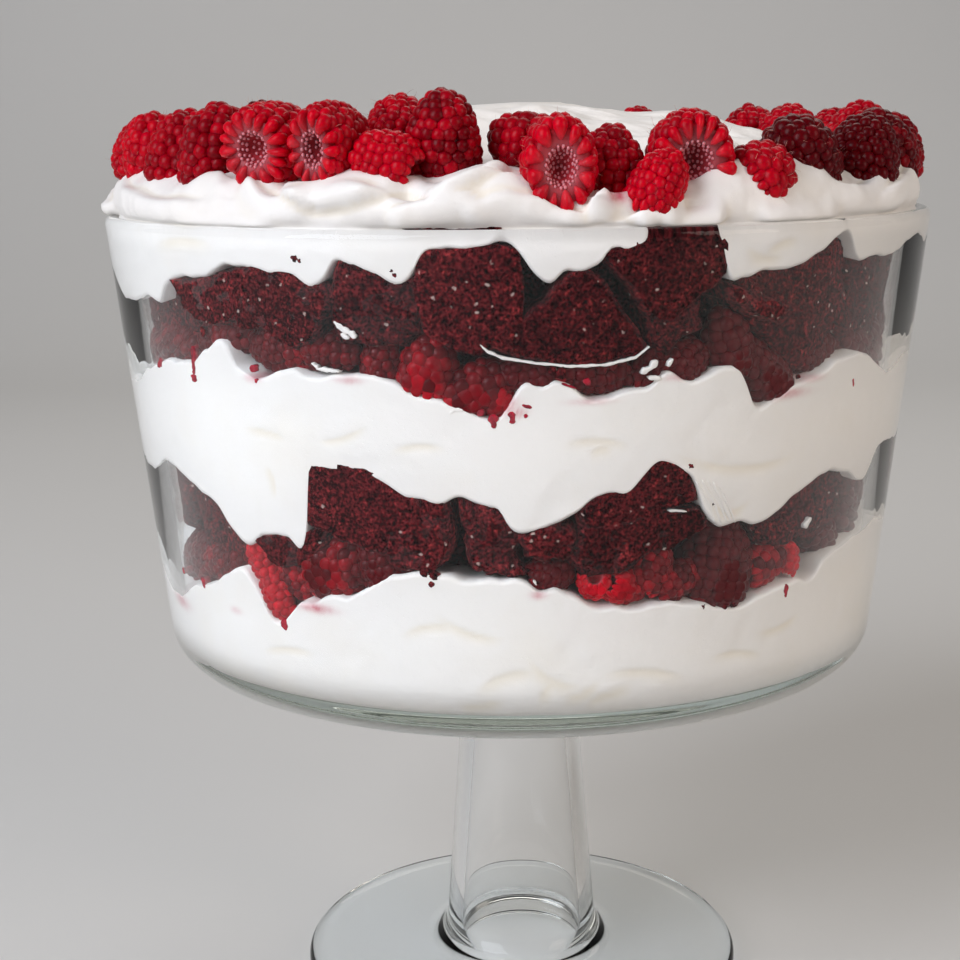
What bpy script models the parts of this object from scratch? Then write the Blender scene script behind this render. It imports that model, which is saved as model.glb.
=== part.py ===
"""Red velvet and raspberry trifle in a footed glass bowl, as closed solids.

Run it with: blender --background --python part.py, or from Blender's text editor.
Metres, +Z up. The origin is the centre of the foot's underside, and -Y is the front.
Angles round the bowl are in degrees: 0 is the front, and they grow towards +X.
"""

import math
from collections import namedtuple

import bmesh
import bpy
from mathutils import Matrix, Vector

MM = 0.001
TURN_STEPS = 48  # facets round the glass and its filling
GAP = 0.3 * MM  # air kept between neighbouring solids

# The glass: one pressed piece, a flared bowl on a hollow stem and a round foot.
RIM_RADIUS = 105 * MM
RIM_HEIGHT = 210 * MM
WALL = 4 * MM
BASE_RADIUS = 92.4 * MM
UNDERSIDE = 95.5 * MM
FLOOR = 102 * MM
OUTER_CORNER = 9 * MM
INNER_CORNER = 9 * MM
LIP_ROUND = 1.9 * MM
STEM_TOP_RADIUS = 14.5 * MM
STEM_FOOT_RADIUS = 21 * MM
STEM_WALL = 4 * MM
STEM_TOP_FILLET = 5 * MM
STEM_FOOT_FILLET = 7 * MM
HOLLOW_TOP = 88 * MM
HOLLOW_TOP_ROUND = 6 * MM
HOLLOW_MOUTH_ROUND = 2.5 * MM
SMALL_ROUNDING = 2.6 * MM  # an edge this small is one facet
LARGE_ROUNDING = 8 * MM  # and one over this is three
FOOT_RADIUS = 60 * MM
FOOT_EDGE = 4.6 * MM
FOOT_RISE = 8 * MM
FOOT_EDGE_ROUND = 1.8 * MM

# The filling: where each layer's edge runs on the glass, from side to side of the front.
# Each pair is (angle, height in mm). The outline repeats on the back, half a turn round.
LAYER_PERIOD = 180.0
BOTTOM_CREAM_TOP = (
    (-84, 125), (-66, 122), (-54, 121), (-46, 129), (-38, 129), (-33, 124), (-24, 131), (-12, 137),
    (0, 135), (10, 130), (22, 127), (35, 128), (44, 133), (54, 139), (70, 137),
)
MIDDLE_CREAM_UNDERSIDE = (
    (-84, 152), (-66, 148), (-56, 150), (-47, 145), (-39, 139), (-30, 144), (-24, 160), (-15, 154),
    (-8, 153), (-1, 147), (8, 153), (19, 160), (31, 145), (44, 150), (55, 151), (68, 156),
)
MIDDLE_CREAM_TOP = (
    (-84, 174), (-68, 173), (-55, 178), (-47, 174), (-41, 182), (-30, 180), (-18, 179), (-9, 174),
    (-2, 170), (4, 176), (15, 176), (26, 179), (32, 173), (38, 178), (54, 180), (70, 177),
)
TOP_CREAM_UNDERSIDE = (
    (-84, 200), (-63, 198), (-49, 195), (-38, 202), (-26, 200), (-21, 204), (-15, 201), (-8, 205),
    (-1, 206), (3, 200), (10, 205), (20, 206), (27, 200), (34, 201), (44, 205), (52, 202), (66, 204),
)
BERRY_SHARE = 0.48  # of each fruit and cake band, the lower part that is berries
BERRY_SHARE_SWING = 0.10
BACK_SWING = 1.5 * MM  # what keeps the back from being the front's twin
INNER_RING = 0.6  # share of the radius where a layer is level
THINNEST_LAYER = 3.5 * MM

# The cream above the rim: (share of the wall radius, height above the rim).
CREAM_DOME = (
    (0.995, 3 * MM), (0.965, 8 * MM), (0.90, 9.5 * MM), (0.80, 10.5 * MM),
    (0.62, 16 * MM), (0.38, 23 * MM), (0.16, 26 * MM),
)
CREAM_PEAK = 26.5 * MM
SWIRL_ARMS = 3
SWIRL_DEPTH = 1.4 * MM
SWIRL_TWIST = 7.0
CREAM_EDGE_WAVE = 1.2 * MM

# The topping berries. Length is along the berry's axis, from its hollow to its tip.
BERRY_FACETS = 8
HOLLOW_SHARE = 0.42  # of the berry's radius
HOLLOW_DEPTH = 0.45  # of its length
DRUPELET_RELIEF = 0.05
BERRY_SINK = 2.6 * MM
BERRY_OUTLINE = ((0.02, 0.80), (0.32, 1.00), (0.72, 0.80))  # (share of the length, of the radius)
PRESS_OUTLINE = ((0.0, 0.84), (0.32, 1.00), (0.74, 0.86))

# angle, distance from the axis, length and width, lean of the tip from upright, heading of the
# tip from straight outwards, and how far the berry is lifted off the cream by its neighbours.
Berry = namedtuple("Berry", "angle reach length width lean heading lift")
FRONT_BERRIES = (
    Berry(-94, 91, 18, 16.5, 60, 190, 0),
    Berry(-82, 93, 18, 17, 40, 120, 0),
    Berry(-70, 92, 19, 17, 30, 60, 0),
    Berry(-59, 90, 19, 16, 15, 180, 0),
    Berry(-48, 90, 20, 17, 12, 90, 0),
    Berry(-37.5, 90, 18, 17.5, 82, 185, 1),
    Berry(-26.2, 91, 17.5, 16.5, 84, 150, 1),
    Berry(-17.5, 93, 15, 13.5, 70, 270, 0),
    Berry(-8.2, 86, 20, 15.5, 8, 0, 1),
    Berry(1.5, 79, 16, 13.5, 75, 250, 2),
    Berry(5.6, 94.5, 15, 19, 84, 208, 0),
    Berry(13.7, 84.5, 18, 14.5, 16, 180, 0),
    Berry(18.2, 97.5, 14.5, 13, 30, 90, 0),
    Berry(26, 86.5, 17, 18, 84, 178, 0),
    Berry(35.5, 93, 14, 13, 70, 100, 0),
    Berry(44.5, 89, 20, 17, 55, 290, 0),
    Berry(57.5, 92, 20, 17, 22, 90, 0),
    Berry(69.5, 91, 19, 16, 30, 250, 0),
    Berry(81.5, 93, 18, 15.5, 30, 90, 0),
    Berry(-55, 72, 17, 15, 70, 30, 1),
    Berry(-20, 74, 17, 15, 40, 200, 2),
)
BACK_FROM = 92.5
BACK_TO = 256.0
BACK_COUNT = 14
BACK_REACH = 89
BACK_LENGTH = 18.5
BACK_WIDTH = 17

CREAM_COLOUR = (0.94, 0.91, 0.85, 1.0)
CAKE_COLOUR = (0.10, 0.018, 0.015, 1.0)
BERRY_COLOUR = (0.52, 0.010, 0.030, 1.0)
GLASS_COLOUR = (0.90, 0.96, 0.95, 1.0)


def clear_scene():
    for thing in list(bpy.data.objects):
        bpy.data.objects.remove(thing)


def finish_of(name, colour, roughness, transmission=0.0):
    """One Principled material."""
    finish = bpy.data.materials.new(name)
    finish.use_nodes = True
    shader = finish.node_tree.nodes["Principled BSDF"]
    shader.inputs["Base Color"].default_value = colour
    shader.inputs["Roughness"].default_value = roughness
    shader.inputs["Transmission Weight"].default_value = transmission
    finish.diffuse_color = colour
    return finish


def object_of(name, mesh, finish):
    mesh.materials.append(finish)
    made = bpy.data.objects.new(name, mesh)
    bpy.context.scene.collection.objects.link(made)
    return made


# Turned shapes


def rounded(corners):
    """The outline through corners (radius, height, rounding), each corner as an arc of that rounding."""
    points = []
    for i, (r, z, rounding) in enumerate(corners):
        here = Vector((r, z))
        if not rounding:
            points.append(here)
            continue
        before = (Vector(corners[i - 1][:2]) - here).normalized()
        after = (Vector(corners[i + 1][:2]) - here).normalized()
        half = before.angle(after) / 2
        centre = here + (before + after).normalized() * (rounding / math.sin(half))
        start = here + before * (rounding / math.tan(half)) - centre
        end = here + after * (rounding / math.tan(half)) - centre
        sweep = start.angle(end)
        steps = 1 + (rounding > SMALL_ROUNDING) + (rounding > LARGE_ROUNDING)
        for k in range(steps + 1):
            t = k / steps
            arm = start * math.sin((1 - t) * sweep) + end * math.sin(t * sweep)
            points.append(centre + arm / math.sin(sweep))
    return points


def ring_point(radius, angle, height):
    """A point round the axis. Angle 0 is the front."""
    turn = math.radians(angle)
    return Vector((radius * math.sin(turn), -radius * math.cos(turn), height))


def turned(name, outline, facets, finish, relief=0.0):
    """A solid of revolution. The outline runs from the axis to the axis; relief makes alternate facets stand in."""
    shape = bmesh.new()
    rings = []
    for k, point in enumerate(outline):
        if point[0] < 1e-6:
            rings.append([shape.verts.new((0, 0, point[1]))])
            continue
        ring = []
        for i in range(facets):
            stand_in = 1 - relief * ((i + k) % 2)
            ring.append(shape.verts.new(ring_point(point[0] * stand_in, 360 * i / facets, point[1])))
        rings.append(ring)
    for inner, outer in zip(rings, rings[1:]):
        join_rings(shape, inner, outer)
    return object_of(name, mesh_from(shape, name), finish)


def join_rings(shape, first, second):
    """Triangles between two rings of one length, or between a ring and a single point.

    Each diagonal runs from the first ring to the second, so two layers that share an edge
    shape are split alike and keep their gap.
    """
    count = max(len(first), len(second))
    for i in range(count):
        a, b = first[i % len(first)], first[(i + 1) % len(first)]
        c, d = second[(i + 1) % len(second)], second[i % len(second)]
        if a is not b:
            shape.faces.new((a, b, c))
        if c is not d:
            shape.faces.new((a, c, d))


def mesh_from(shape, name):
    bmesh.ops.recalc_face_normals(shape, faces=shape.faces)
    mesh = bpy.data.meshes.new(name)
    shape.to_mesh(mesh)
    shape.free()
    mesh.shade_smooth()
    mesh.set_sharp_from_angle(angle=math.radians(40))
    return mesh


# The glass bowl


def wall_radius(height):
    """The outside of the bowl's straight flared wall."""
    share = (height - UNDERSIDE) / (RIM_HEIGHT - UNDERSIDE)
    return BASE_RADIUS + (RIM_RADIUS - BASE_RADIUS) * share


def filling_radius(height):
    """How far the filling reaches: just inside the wall."""
    return wall_radius(height) - WALL - GAP


def build_bowl(finish):
    corners = (
        (0, FLOOR, 0),
        (wall_radius(FLOOR) - WALL, FLOOR, INNER_CORNER),
        (wall_radius(RIM_HEIGHT) - WALL, RIM_HEIGHT, LIP_ROUND),
        (RIM_RADIUS, RIM_HEIGHT, LIP_ROUND),
        (BASE_RADIUS, UNDERSIDE, OUTER_CORNER),
        (STEM_TOP_RADIUS, UNDERSIDE, STEM_TOP_FILLET),
        (STEM_FOOT_RADIUS, FOOT_RISE, STEM_FOOT_FILLET),
        (FOOT_RADIUS, FOOT_EDGE, FOOT_EDGE_ROUND),
        (FOOT_RADIUS, 0, FOOT_EDGE_ROUND),
        (STEM_FOOT_RADIUS - STEM_WALL, 0, HOLLOW_MOUTH_ROUND),
        (STEM_TOP_RADIUS - STEM_WALL, HOLLOW_TOP, HOLLOW_TOP_ROUND),
        (0, HOLLOW_TOP, 0),
    )
    return turned("glass_bowl", rounded(corners), TURN_STEPS, finish)


# The layers


def through(knots, angle, period):
    """A smooth closed curve through (angle, value) knots, which repeats after the period."""
    count = len(knots)
    first = knots[0][0]
    along = (angle - first) % period + first
    i = max(k for k in range(count) if knots[k][0] <= along)

    def knot(k):
        turns, index = divmod(k, count)
        return knots[index][0] + turns * period, knots[index][1]

    (a0, v0), (a1, v1), (a2, v2), (a3, v3) = (knot(i + k) for k in (-1, 0, 1, 2))
    span = a2 - a1
    slope1 = (v2 - v0) / (a2 - a0) * span
    slope2 = (v3 - v1) / (a3 - a1) * span
    t = (along - a1) / span
    return (
        (2 * t**3 - 3 * t**2 + 1) * v1
        + (t**3 - 2 * t**2 + t) * slope1
        + (3 * t**2 - 2 * t**3) * v2
        + (t**3 - t**2) * slope2
    )


def edge_height(knots, angle):
    """A layer's edge on the glass, in metres. It sways a little on the back."""
    behind = max(0.0, -math.cos(math.radians(angle)))
    sway = BACK_SWING * behind * math.sin(math.radians(5 * angle))
    return through(knots, angle, LAYER_PERIOD) * MM + sway


def between(low, high, phase):
    """The edge between the berries and the cake of one band."""

    def height(angle):
        bottom, top = low(angle), high(angle)
        share = BERRY_SHARE + BERRY_SHARE_SWING * math.sin(math.radians(7 * angle + phase))
        return max(bottom + THINNEST_LAYER, min(top - THINNEST_LAYER, bottom + share * (top - bottom)))

    return height


def edge_of(knots):
    return lambda angle: edge_height(knots, angle)


def mean_height(edge):
    return sum(edge(360 * i / TURN_STEPS) for i in range(TURN_STEPS)) / TURN_STEPS


def angles():
    return [360 * i / TURN_STEPS for i in range(TURN_STEPS)]


def surface(shape, edge, offset):
    """A layer's top or underside, out to the ring of points on the glass, which it returns."""
    level = mean_height(edge) + offset
    outer = []
    inner = []
    for angle in angles():
        height = edge(angle) + offset
        outer.append(shape.verts.new(ring_point(filling_radius(height), angle, height)))
        inner.append(shape.verts.new(ring_point(filling_radius(level) * INNER_RING, angle, level)))
    join_rings(shape, outer, inner)
    join_rings(shape, inner, [shape.verts.new((0, 0, level))])
    return outer


def build_layer(name, low, high, finish):
    """A layer between two edges, with half a gap kept at each."""
    shape = bmesh.new()
    join_rings(shape, surface(shape, low, GAP / 2), surface(shape, high, -GAP / 2))
    return object_of(name, mesh_from(shape, name), finish)


def build_bottom_cream(edge, finish):
    """The lowest layer fills the bowl's rounded corner."""
    shape = bmesh.new()
    floor = FLOOR + GAP
    corners = (
        (0, floor, 0),
        (filling_radius(floor), floor, INNER_CORNER),
        (filling_radius(RIM_HEIGHT), RIM_HEIGHT, 0),
    )
    rings = [[shape.verts.new((0, 0, floor))]]
    for point in rounded(corners)[1:-1]:
        rings.append([shape.verts.new(ring_point(point[0], angle, point[1])) for angle in angles()])
    rings.append(surface(shape, edge, -GAP / 2))
    for one, other in zip(rings, rings[1:]):
        join_rings(shape, one, other)
    return object_of("cream_bottom", mesh_from(shape, "cream_bottom"), finish)


def cream_top_height(angle, share):
    """The top cream's height at a share of the wall radius: a dome with a spooned swirl."""
    knots = [(1.0, 0.0), *CREAM_DOME, (0.0, CREAM_PEAK)]
    for (s1, z1), (s2, z2) in zip(knots, knots[1:]):
        if share >= s2:
            t = (s1 - share) / (s1 - s2)
            rise = z1 + (z2 - z1) * t
            break
    turn = math.radians(angle)
    swirl = SWIRL_DEPTH * math.sin(SWIRL_ARMS * turn + SWIRL_TWIST * share) * share * (1 - share) * 4
    wave = CREAM_EDGE_WAVE * math.sin(5 * turn + 0.8) * math.sin(2 * turn) * share
    return RIM_HEIGHT + rise + swirl + (wave if share < 0.99 else 0)


def build_top_cream(edge, finish):
    shape = bmesh.new()
    rings = [surface(shape, edge, GAP / 2)]
    rim = RIM_HEIGHT - LIP_ROUND
    rings.append([shape.verts.new(ring_point(filling_radius(rim), angle, rim)) for angle in angles()])
    wall = filling_radius(RIM_HEIGHT)
    for share, _ in CREAM_DOME:
        ring = []
        for angle in angles():
            ring.append(shape.verts.new(ring_point(wall * share, angle, cream_top_height(angle, share))))
        rings.append(ring)
    rings.append([shape.verts.new((0, 0, RIM_HEIGHT + CREAM_PEAK))])
    for one, other in zip(rings, rings[1:]):
        join_rings(shape, one, other)
    return object_of("cream_top", mesh_from(shape, "cream_top"), finish)


# The topping berries


def back_berries():
    """The ring goes on behind with berries that turn this way and that."""
    made = []
    for k in range(BACK_COUNT):
        angle = BACK_FROM + (BACK_TO - BACK_FROM) * k / (BACK_COUNT - 1)
        turn = math.radians(137.5 * k)
        made.append(
            Berry(
                angle,
                BACK_REACH + 2.0 * math.sin(turn),
                BACK_LENGTH + 1.0 * math.cos(2 * turn),
                BACK_WIDTH + 0.8 * math.sin(3 * turn),
                18 + 60 * (k % 3 == 1),
                (137.5 * k) % 360,
                0,
            )
        )
    return made


def berry_outline(length, radius):
    """From the bottom of the hollow, out over its rim and up the outside to the tip."""
    base = -length / 2
    outline = [Vector((0, base + HOLLOW_DEPTH * length)), Vector((HOLLOW_SHARE * radius, base + 0.03 * length))]
    outline += [Vector((radius * wide, base + length * along)) for along, wide in BERRY_OUTLINE]
    outline.append(Vector((0, length / 2)))
    return outline


def berry_place(berry):
    """Where a berry lies: its middle and the turn that points its tip, sunk a little into the cream."""
    tip = Vector((0, 0, 1))
    lean = Matrix.Rotation(math.radians(berry.lean), 4, "X")
    heading = Matrix.Rotation(math.radians(berry.angle + berry.heading), 4, "Z")
    turn = heading @ lean
    direction = (turn @ tip).normalized()
    half_height = math.hypot(direction.z * berry.length / 2, math.hypot(direction.x, direction.y) * berry.width / 2)
    share = berry.reach * MM / filling_radius(RIM_HEIGHT)
    ground = cream_top_height(berry.angle, share)
    middle = ground + half_height * MM - BERRY_SINK + berry.lift * MM
    return Matrix.Translation(ring_point(berry.reach * MM, berry.angle, middle)) @ turn


def press_for(berry, place, finish):
    """The hollow that a berry presses into the cream: a plump hidden copy, a gap larger all round."""
    length = berry.length * MM + 2 * GAP
    radius = berry.width * MM / 2 + 2 * GAP
    outline = [Vector((0, -length / 2))]
    outline += [Vector((radius * wide, length * (along - 0.5))) for along, wide in PRESS_OUTLINE]
    outline.append(Vector((0, length / 2)))
    press = turned("press", outline, BERRY_FACETS, finish)
    press.matrix_world = place
    press.hide_render = True
    press.display_type = "WIRE"
    return press


def build_berries(cream, finish):
    for number, berry in enumerate((*FRONT_BERRIES, *back_berries()), start=1):
        outline = berry_outline(berry.length * MM, berry.width * MM / 2)
        made = turned(f"raspberry_{number:02d}", outline, BERRY_FACETS, finish, DRUPELET_RELIEF)
        place = berry_place(berry)
        made.matrix_world = place
        dent = cream.modifiers.new(f"dent_{number:02d}", "BOOLEAN")
        dent.object = press_for(berry, place, finish)
        dent.operation = "DIFFERENCE"


def main():
    clear_scene()
    glass = finish_of("soda_lime_glass", GLASS_COLOUR, 0.02, transmission=1.0)
    cream = finish_of("whipped_cream", CREAM_COLOUR, 0.45)
    cake = finish_of("red_velvet_cake", CAKE_COLOUR, 0.9)
    fruit = finish_of("raspberry", BERRY_COLOUR, 0.35)

    bottom_top = edge_of(BOTTOM_CREAM_TOP)
    middle_under = edge_of(MIDDLE_CREAM_UNDERSIDE)
    middle_top = edge_of(MIDDLE_CREAM_TOP)
    top_under = edge_of(TOP_CREAM_UNDERSIDE)
    lower_split = between(bottom_top, middle_under, 40)
    upper_split = between(middle_top, top_under, 200)

    build_bowl(glass)
    build_bottom_cream(bottom_top, cream)
    build_layer("raspberries_lower", bottom_top, lower_split, fruit)
    build_layer("cake_lower", lower_split, middle_under, cake)
    build_layer("cream_middle", middle_under, middle_top, cream)
    build_layer("raspberries_upper", middle_top, upper_split, fruit)
    build_layer("cake_upper", upper_split, top_under, cake)
    top = build_top_cream(top_under, cream)
    build_berries(top, fruit)


main()
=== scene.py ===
"""Red velvet and raspberry trifle in a footed glass bowl: its finished look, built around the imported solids.

It is laid out as an add-on, with settings, one operator for each group of pieces, and a sidebar panel.
Metres, +Z up. The origin is under the middle of the foot, and -Y is the front.
Angles round the bowl are in degrees: 0 is the front, and they grow towards +X.
"""

import math
import random
from collections import namedtuple
from functools import partial

import bmesh
import bpy
import numpy as np
from mathutils import Matrix, Vector, noise


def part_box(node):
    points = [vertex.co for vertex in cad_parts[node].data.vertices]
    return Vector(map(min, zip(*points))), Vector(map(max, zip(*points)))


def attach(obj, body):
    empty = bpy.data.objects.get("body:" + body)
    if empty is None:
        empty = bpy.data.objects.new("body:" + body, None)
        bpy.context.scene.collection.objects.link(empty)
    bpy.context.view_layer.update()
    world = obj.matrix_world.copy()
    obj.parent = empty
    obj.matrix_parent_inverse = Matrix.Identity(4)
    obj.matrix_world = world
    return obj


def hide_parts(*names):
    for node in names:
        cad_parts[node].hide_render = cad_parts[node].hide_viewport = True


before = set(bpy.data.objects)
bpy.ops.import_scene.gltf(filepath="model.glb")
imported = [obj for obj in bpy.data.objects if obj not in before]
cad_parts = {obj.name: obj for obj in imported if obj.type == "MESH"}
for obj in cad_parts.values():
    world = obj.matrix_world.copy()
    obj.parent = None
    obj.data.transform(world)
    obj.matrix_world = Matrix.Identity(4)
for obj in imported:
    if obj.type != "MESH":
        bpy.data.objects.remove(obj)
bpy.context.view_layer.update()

bl_info = {
    "name": "Footed Bowl Trifle",
    "version": (1, 0, 0),
    "blender": (4, 5, 0),
    "location": "3D View > Sidebar > Trifle",
    "description": "Builds a raspberry trifle in its footed glass bowl around the packed solids",
    "category": "Add Mesh",
}

MM = 0.001
GLASS_ARC = 100.0  # mm from the axis at which lengths round the glass are measured
CREAM_ARC = 98  # and lengths round the cream
SOLID_STEP = 7.5  # degrees between the points of the solids round the bowl
BODY = "root"


# Colours, nodes and meshes


def linear(code):
    """An sRGB hex colour as linear red, green, blue and alpha."""
    shares = [int(code[k : k + 2], 16) / 255 for k in (1, 3, 5)]
    return tuple(s / 12.92 if s <= 0.04045 else ((s + 0.055) / 1.055) ** 2.4 for s in shares) + (1.0,)


def add_node(material, kind, inputs=None, stops=(), **settings):
    """Adds a node. An input is a number, a colour, another node or one of its sockets.
    Stops are a ramp's (place, colour)."""
    tree = material.node_tree
    node = tree.nodes.new("ShaderNode" + kind)
    for name, value in settings.items():
        setattr(node, name, value)
    for key, value in (inputs or {}).items():
        if isinstance(value, bpy.types.Node):
            value = value.outputs[0]
        if isinstance(value, bpy.types.NodeSocket):
            tree.links.new(value, node.inputs[key])
        else:
            node.inputs[key].default_value = value
    if stops:
        ramp = node.color_ramp.elements
        while len(ramp) < len(stops):
            ramp.new(1.0)
        for element, (place, colour) in zip(ramp, stops):
            element.position = place
            element.color = colour
    return node


def new_material(name):
    """An empty material, and what adds a node to it."""
    material = bpy.data.materials.new(name)
    material.use_nodes = True
    material.node_tree.nodes.clear()
    return material, partial(add_node, material)


class Heap:
    """Gathers shapes into one mesh, with a number for each point under each attribute's name."""

    def __init__(self, *names):
        self.points = []
        self.faces = []
        self.slots = []
        self.values = {name: [] for name in names}
        self.count = 0

    def add(self, points, faces, slot=0, **values):
        self.points.append(np.asarray(points, float))
        self.faces += [[k + self.count for k in face] for face in faces]
        self.slots += [slot] * len(faces)
        for name, store in self.values.items():
            store.append(np.broadcast_to(np.asarray(values.get(name, 0.0), float), len(points)))
        self.count += len(points)

    def build(self, name, *materials):
        mesh = bpy.data.meshes.new(name)
        mesh.from_pydata(np.concatenate(self.points).tolist(), [], self.faces)
        for material in materials:
            mesh.materials.append(material)
        mesh.polygons.foreach_set("material_index", self.slots)
        for title, store in self.values.items():
            layer = mesh.attributes.new(title, "FLOAT", "POINT")
            layer.data.foreach_set("value", np.concatenate(store).astype(np.float32))
        mesh.shade_smooth()
        made = bpy.data.objects.new(name, mesh)
        bpy.context.scene.collection.objects.link(made)
        return made


def belongs(piece, slot, *nodes):
    """The piece rides on the bowl's body and stands for these solids."""
    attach(piece, BODY)
    if nodes:
        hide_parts(*nodes)


def moved(points, matrix):
    """Points through a matrix, which may stretch them."""
    return points @ np.array(matrix.to_3x3()).T + np.array(matrix.translation)


def smooth_step(low, high, x):
    """From 0 at low to 1 at high, easing in and out."""
    t = np.clip((x - low) / (high - low), 0, 1)
    return t * t * (3 - 2 * t)


def from_front(angles):
    """The same angles from -180 to 180."""
    return (angles + 180) % 360 - 180


def colour_setting(name, description, code):
    """A colour of the panel, from its hex code."""
    return bpy.props.FloatVectorProperty(
        name=name, description=description, subtype="COLOR", size=4, default=linear(code)
    )


def length_setting(name, description, length):
    """A length of the panel, from its millimetres."""
    return bpy.props.FloatProperty(name=name, description=description, default=length * MM, unit="LENGTH")


def lumps(points, size, seed=0.0, octaves=3):
    """Soft random unevenness of that size at each point, about -1 to 1."""
    shift = Vector((7.1, 3.7, 1.9)) * seed
    return np.array([noise.fractal(Vector(p) / size + shift, 1.0, 2.0, octaves) for p in points])


def ball(detail):
    """A unit ball as points and triangles."""
    shape = bmesh.new()
    bmesh.ops.create_icosphere(shape, subdivisions=detail, radius=1)
    points = np.array([v.co[:] for v in shape.verts])
    faces = np.array([[v.index for v in f.verts] for f in shape.faces])
    shape.free()
    return points, faces


def cap_of(points, faces, lowest):
    """The part of a ball above a level, for a bead that is sunk into something."""
    kept = faces[points[faces][:, :, 2].mean(axis=1) > lowest]
    used, index = np.unique(kept, return_inverse=True)
    return points[used], index.reshape(kept.shape)


# The bowl's shape


class BowlSettings(bpy.types.PropertyGroup):
    """The pressed glass bowl"""

    wall: length_setting("Wall", "Thickness of the glass", 4)
    base_radius: length_setting("Base radius", "Outer radius at the bottom corner", 92.4)
    underside: length_setting("Underside", "Height of the bowl's underside", 95.5)
    rim_radius: length_setting("Rim radius", "Outer radius at the rim", 105)
    corner: length_setting("Corner", "Rounding of the bottom corner", 9)
    foot_radius: length_setting("Foot radius", "Outer radius of the foot", 60)
    segments: bpy.props.IntProperty(name="Segments", description="Facets round the bowl", default=256, min=48)
    tint: colour_setting("Tint", "Colour that thick glass takes", "#CDE6DC")


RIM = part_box("glass_bowl")[1].z
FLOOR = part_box("cream_bottom")[0].z - 0.3 * MM
PRESS = 0.3 * MM  # how far the filling reaches into the wall, so that no air shows behind the glass


def bowl():
    return bpy.context.scene.trifle_bowl


def inside_wall(height):
    """The radius of the wall's inner face."""
    settings = bowl()
    share = (height - settings.underside) / (RIM - settings.underside)
    return settings.base_radius + (settings.rim_radius - settings.base_radius) * share - settings.wall


def rounded(corners, steps=7):
    """The outline through corners (radius, height, rounding), each rounding as an arc."""
    points = []
    for k, (r, z, rounding) in enumerate(corners):
        here = Vector((r, z))
        if not rounding:
            points.append(here)
            continue
        before = (Vector(corners[k - 1][:2]) - here).normalized()
        after = (Vector(corners[k + 1][:2]) - here).normalized()
        half = before.angle(after) / 2
        centre = here + (before + after).normalized() * (rounding / math.sin(half))
        start = here + before * (rounding / math.tan(half)) - centre
        end = here + after * (rounding / math.tan(half)) - centre
        sweep = start.angle(end)
        for i in range(steps + 1):
            t = i / steps
            arm = start * math.sin((1 - t) * sweep) + end * math.sin(t * sweep)
            points.append(centre + arm / math.sin(sweep))
    return points


def ring(radius, angles, height):
    """Points round the axis at these angles. Radius and height may differ from point to point."""
    turn = np.radians(angles)
    return np.stack([radius * np.sin(turn), -radius * np.cos(turn), height + 0 * turn], axis=-1)


def skin(rows, first_pole, last_pole):
    """Points and faces of a closed surface from rings of one length and a point at either end."""
    count, around = rows.shape[:2]
    points = np.concatenate([rows.reshape(-1, 3), [first_pole, last_pole]])
    index = np.arange(count * around).reshape(count, around)
    after = np.roll(index, -1, axis=1)
    quads = np.stack([index[:-1], after[:-1], after[1:], index[1:]], axis=-1).reshape(-1, 4)
    start, end = len(points) - 2, len(points) - 1
    first = np.stack([after[0], index[0], np.full(around, start)], axis=-1)
    last = np.stack([index[-1], after[-1], np.full(around, end)], axis=-1)
    return points, quads.tolist() + first.tolist() + last.tolist()


def soda_lime_glass():
    """Soda-lime glass, pressed in a mould and fire-polished: clear and glossy, faintly green where it is
    thick."""
    material, add = new_material("soda_lime_glass")
    clear = {"Base Color": (1, 1, 1, 1), "Roughness": 0.0, "IOR": 1.52, "Transmission Weight": 1.0}
    body = add("BsdfPrincipled", {**clear, "Specular Tint": (0.3, 0.3, 0.3, 1)})
    see_through = add("BsdfTransparent", {"Color": linear("#C9CED0")})
    in_shadow = add("LightPath").outputs["Is Shadow Ray"]
    shader = add("MixShader", {0: in_shadow, 1: body, 2: see_through})
    depth = add("VolumeAbsorption", {"Color": bowl().tint, "Density": 4.0})
    add("OutputMaterial", {"Surface": shader, "Volume": depth})
    return material


class TRIFLE_OT_bowl(bpy.types.Operator):
    """Turns the glass bowl with its hollow stem and foot"""

    bl_idname = "trifle.bowl"
    bl_label = "Glass Bowl"

    def execute(self, context):
        settings = bowl()
        wall = settings.wall
        foot_radius = settings.foot_radius
        stem_top, stem_foot = 14.5 * MM, 21 * MM
        hollow_top = 88 * MM
        corners = (
            (inside_wall(FLOOR), FLOOR, settings.corner),
            (inside_wall(RIM), RIM, 1.9 * MM),
            (settings.rim_radius, RIM, 1.9 * MM),
            (settings.base_radius, settings.underside, settings.corner),
            (stem_top, settings.underside, 5 * MM),
            (stem_foot, 8 * MM, 7 * MM),
            (foot_radius, 4.6 * MM, 1.8 * MM),
            (foot_radius, 0, 1.8 * MM),
            (foot_radius - 5 * MM, 0, 4 * MM),
            (stem_foot - wall, 3.4 * MM, 2.5 * MM),
            (stem_top - wall, hollow_top, 6 * MM),
        )
        outline = rounded(((0, FLOOR, 0), *corners, (0, hollow_top, 0)))[1:-1]
        angles = np.arange(settings.segments) * 360 / settings.segments
        rows = np.array([ring(r, angles, z) for r, z in outline])
        heap = Heap()
        heap.add(*skin(rows[::-1], (0, 0, hollow_top), (0, 0, FLOOR)))
        piece = heap.build("footed_bowl", soda_lime_glass())
        belongs(piece, "glass", "glass_bowl")
        return {"FINISHED"}


# The cream


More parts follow.
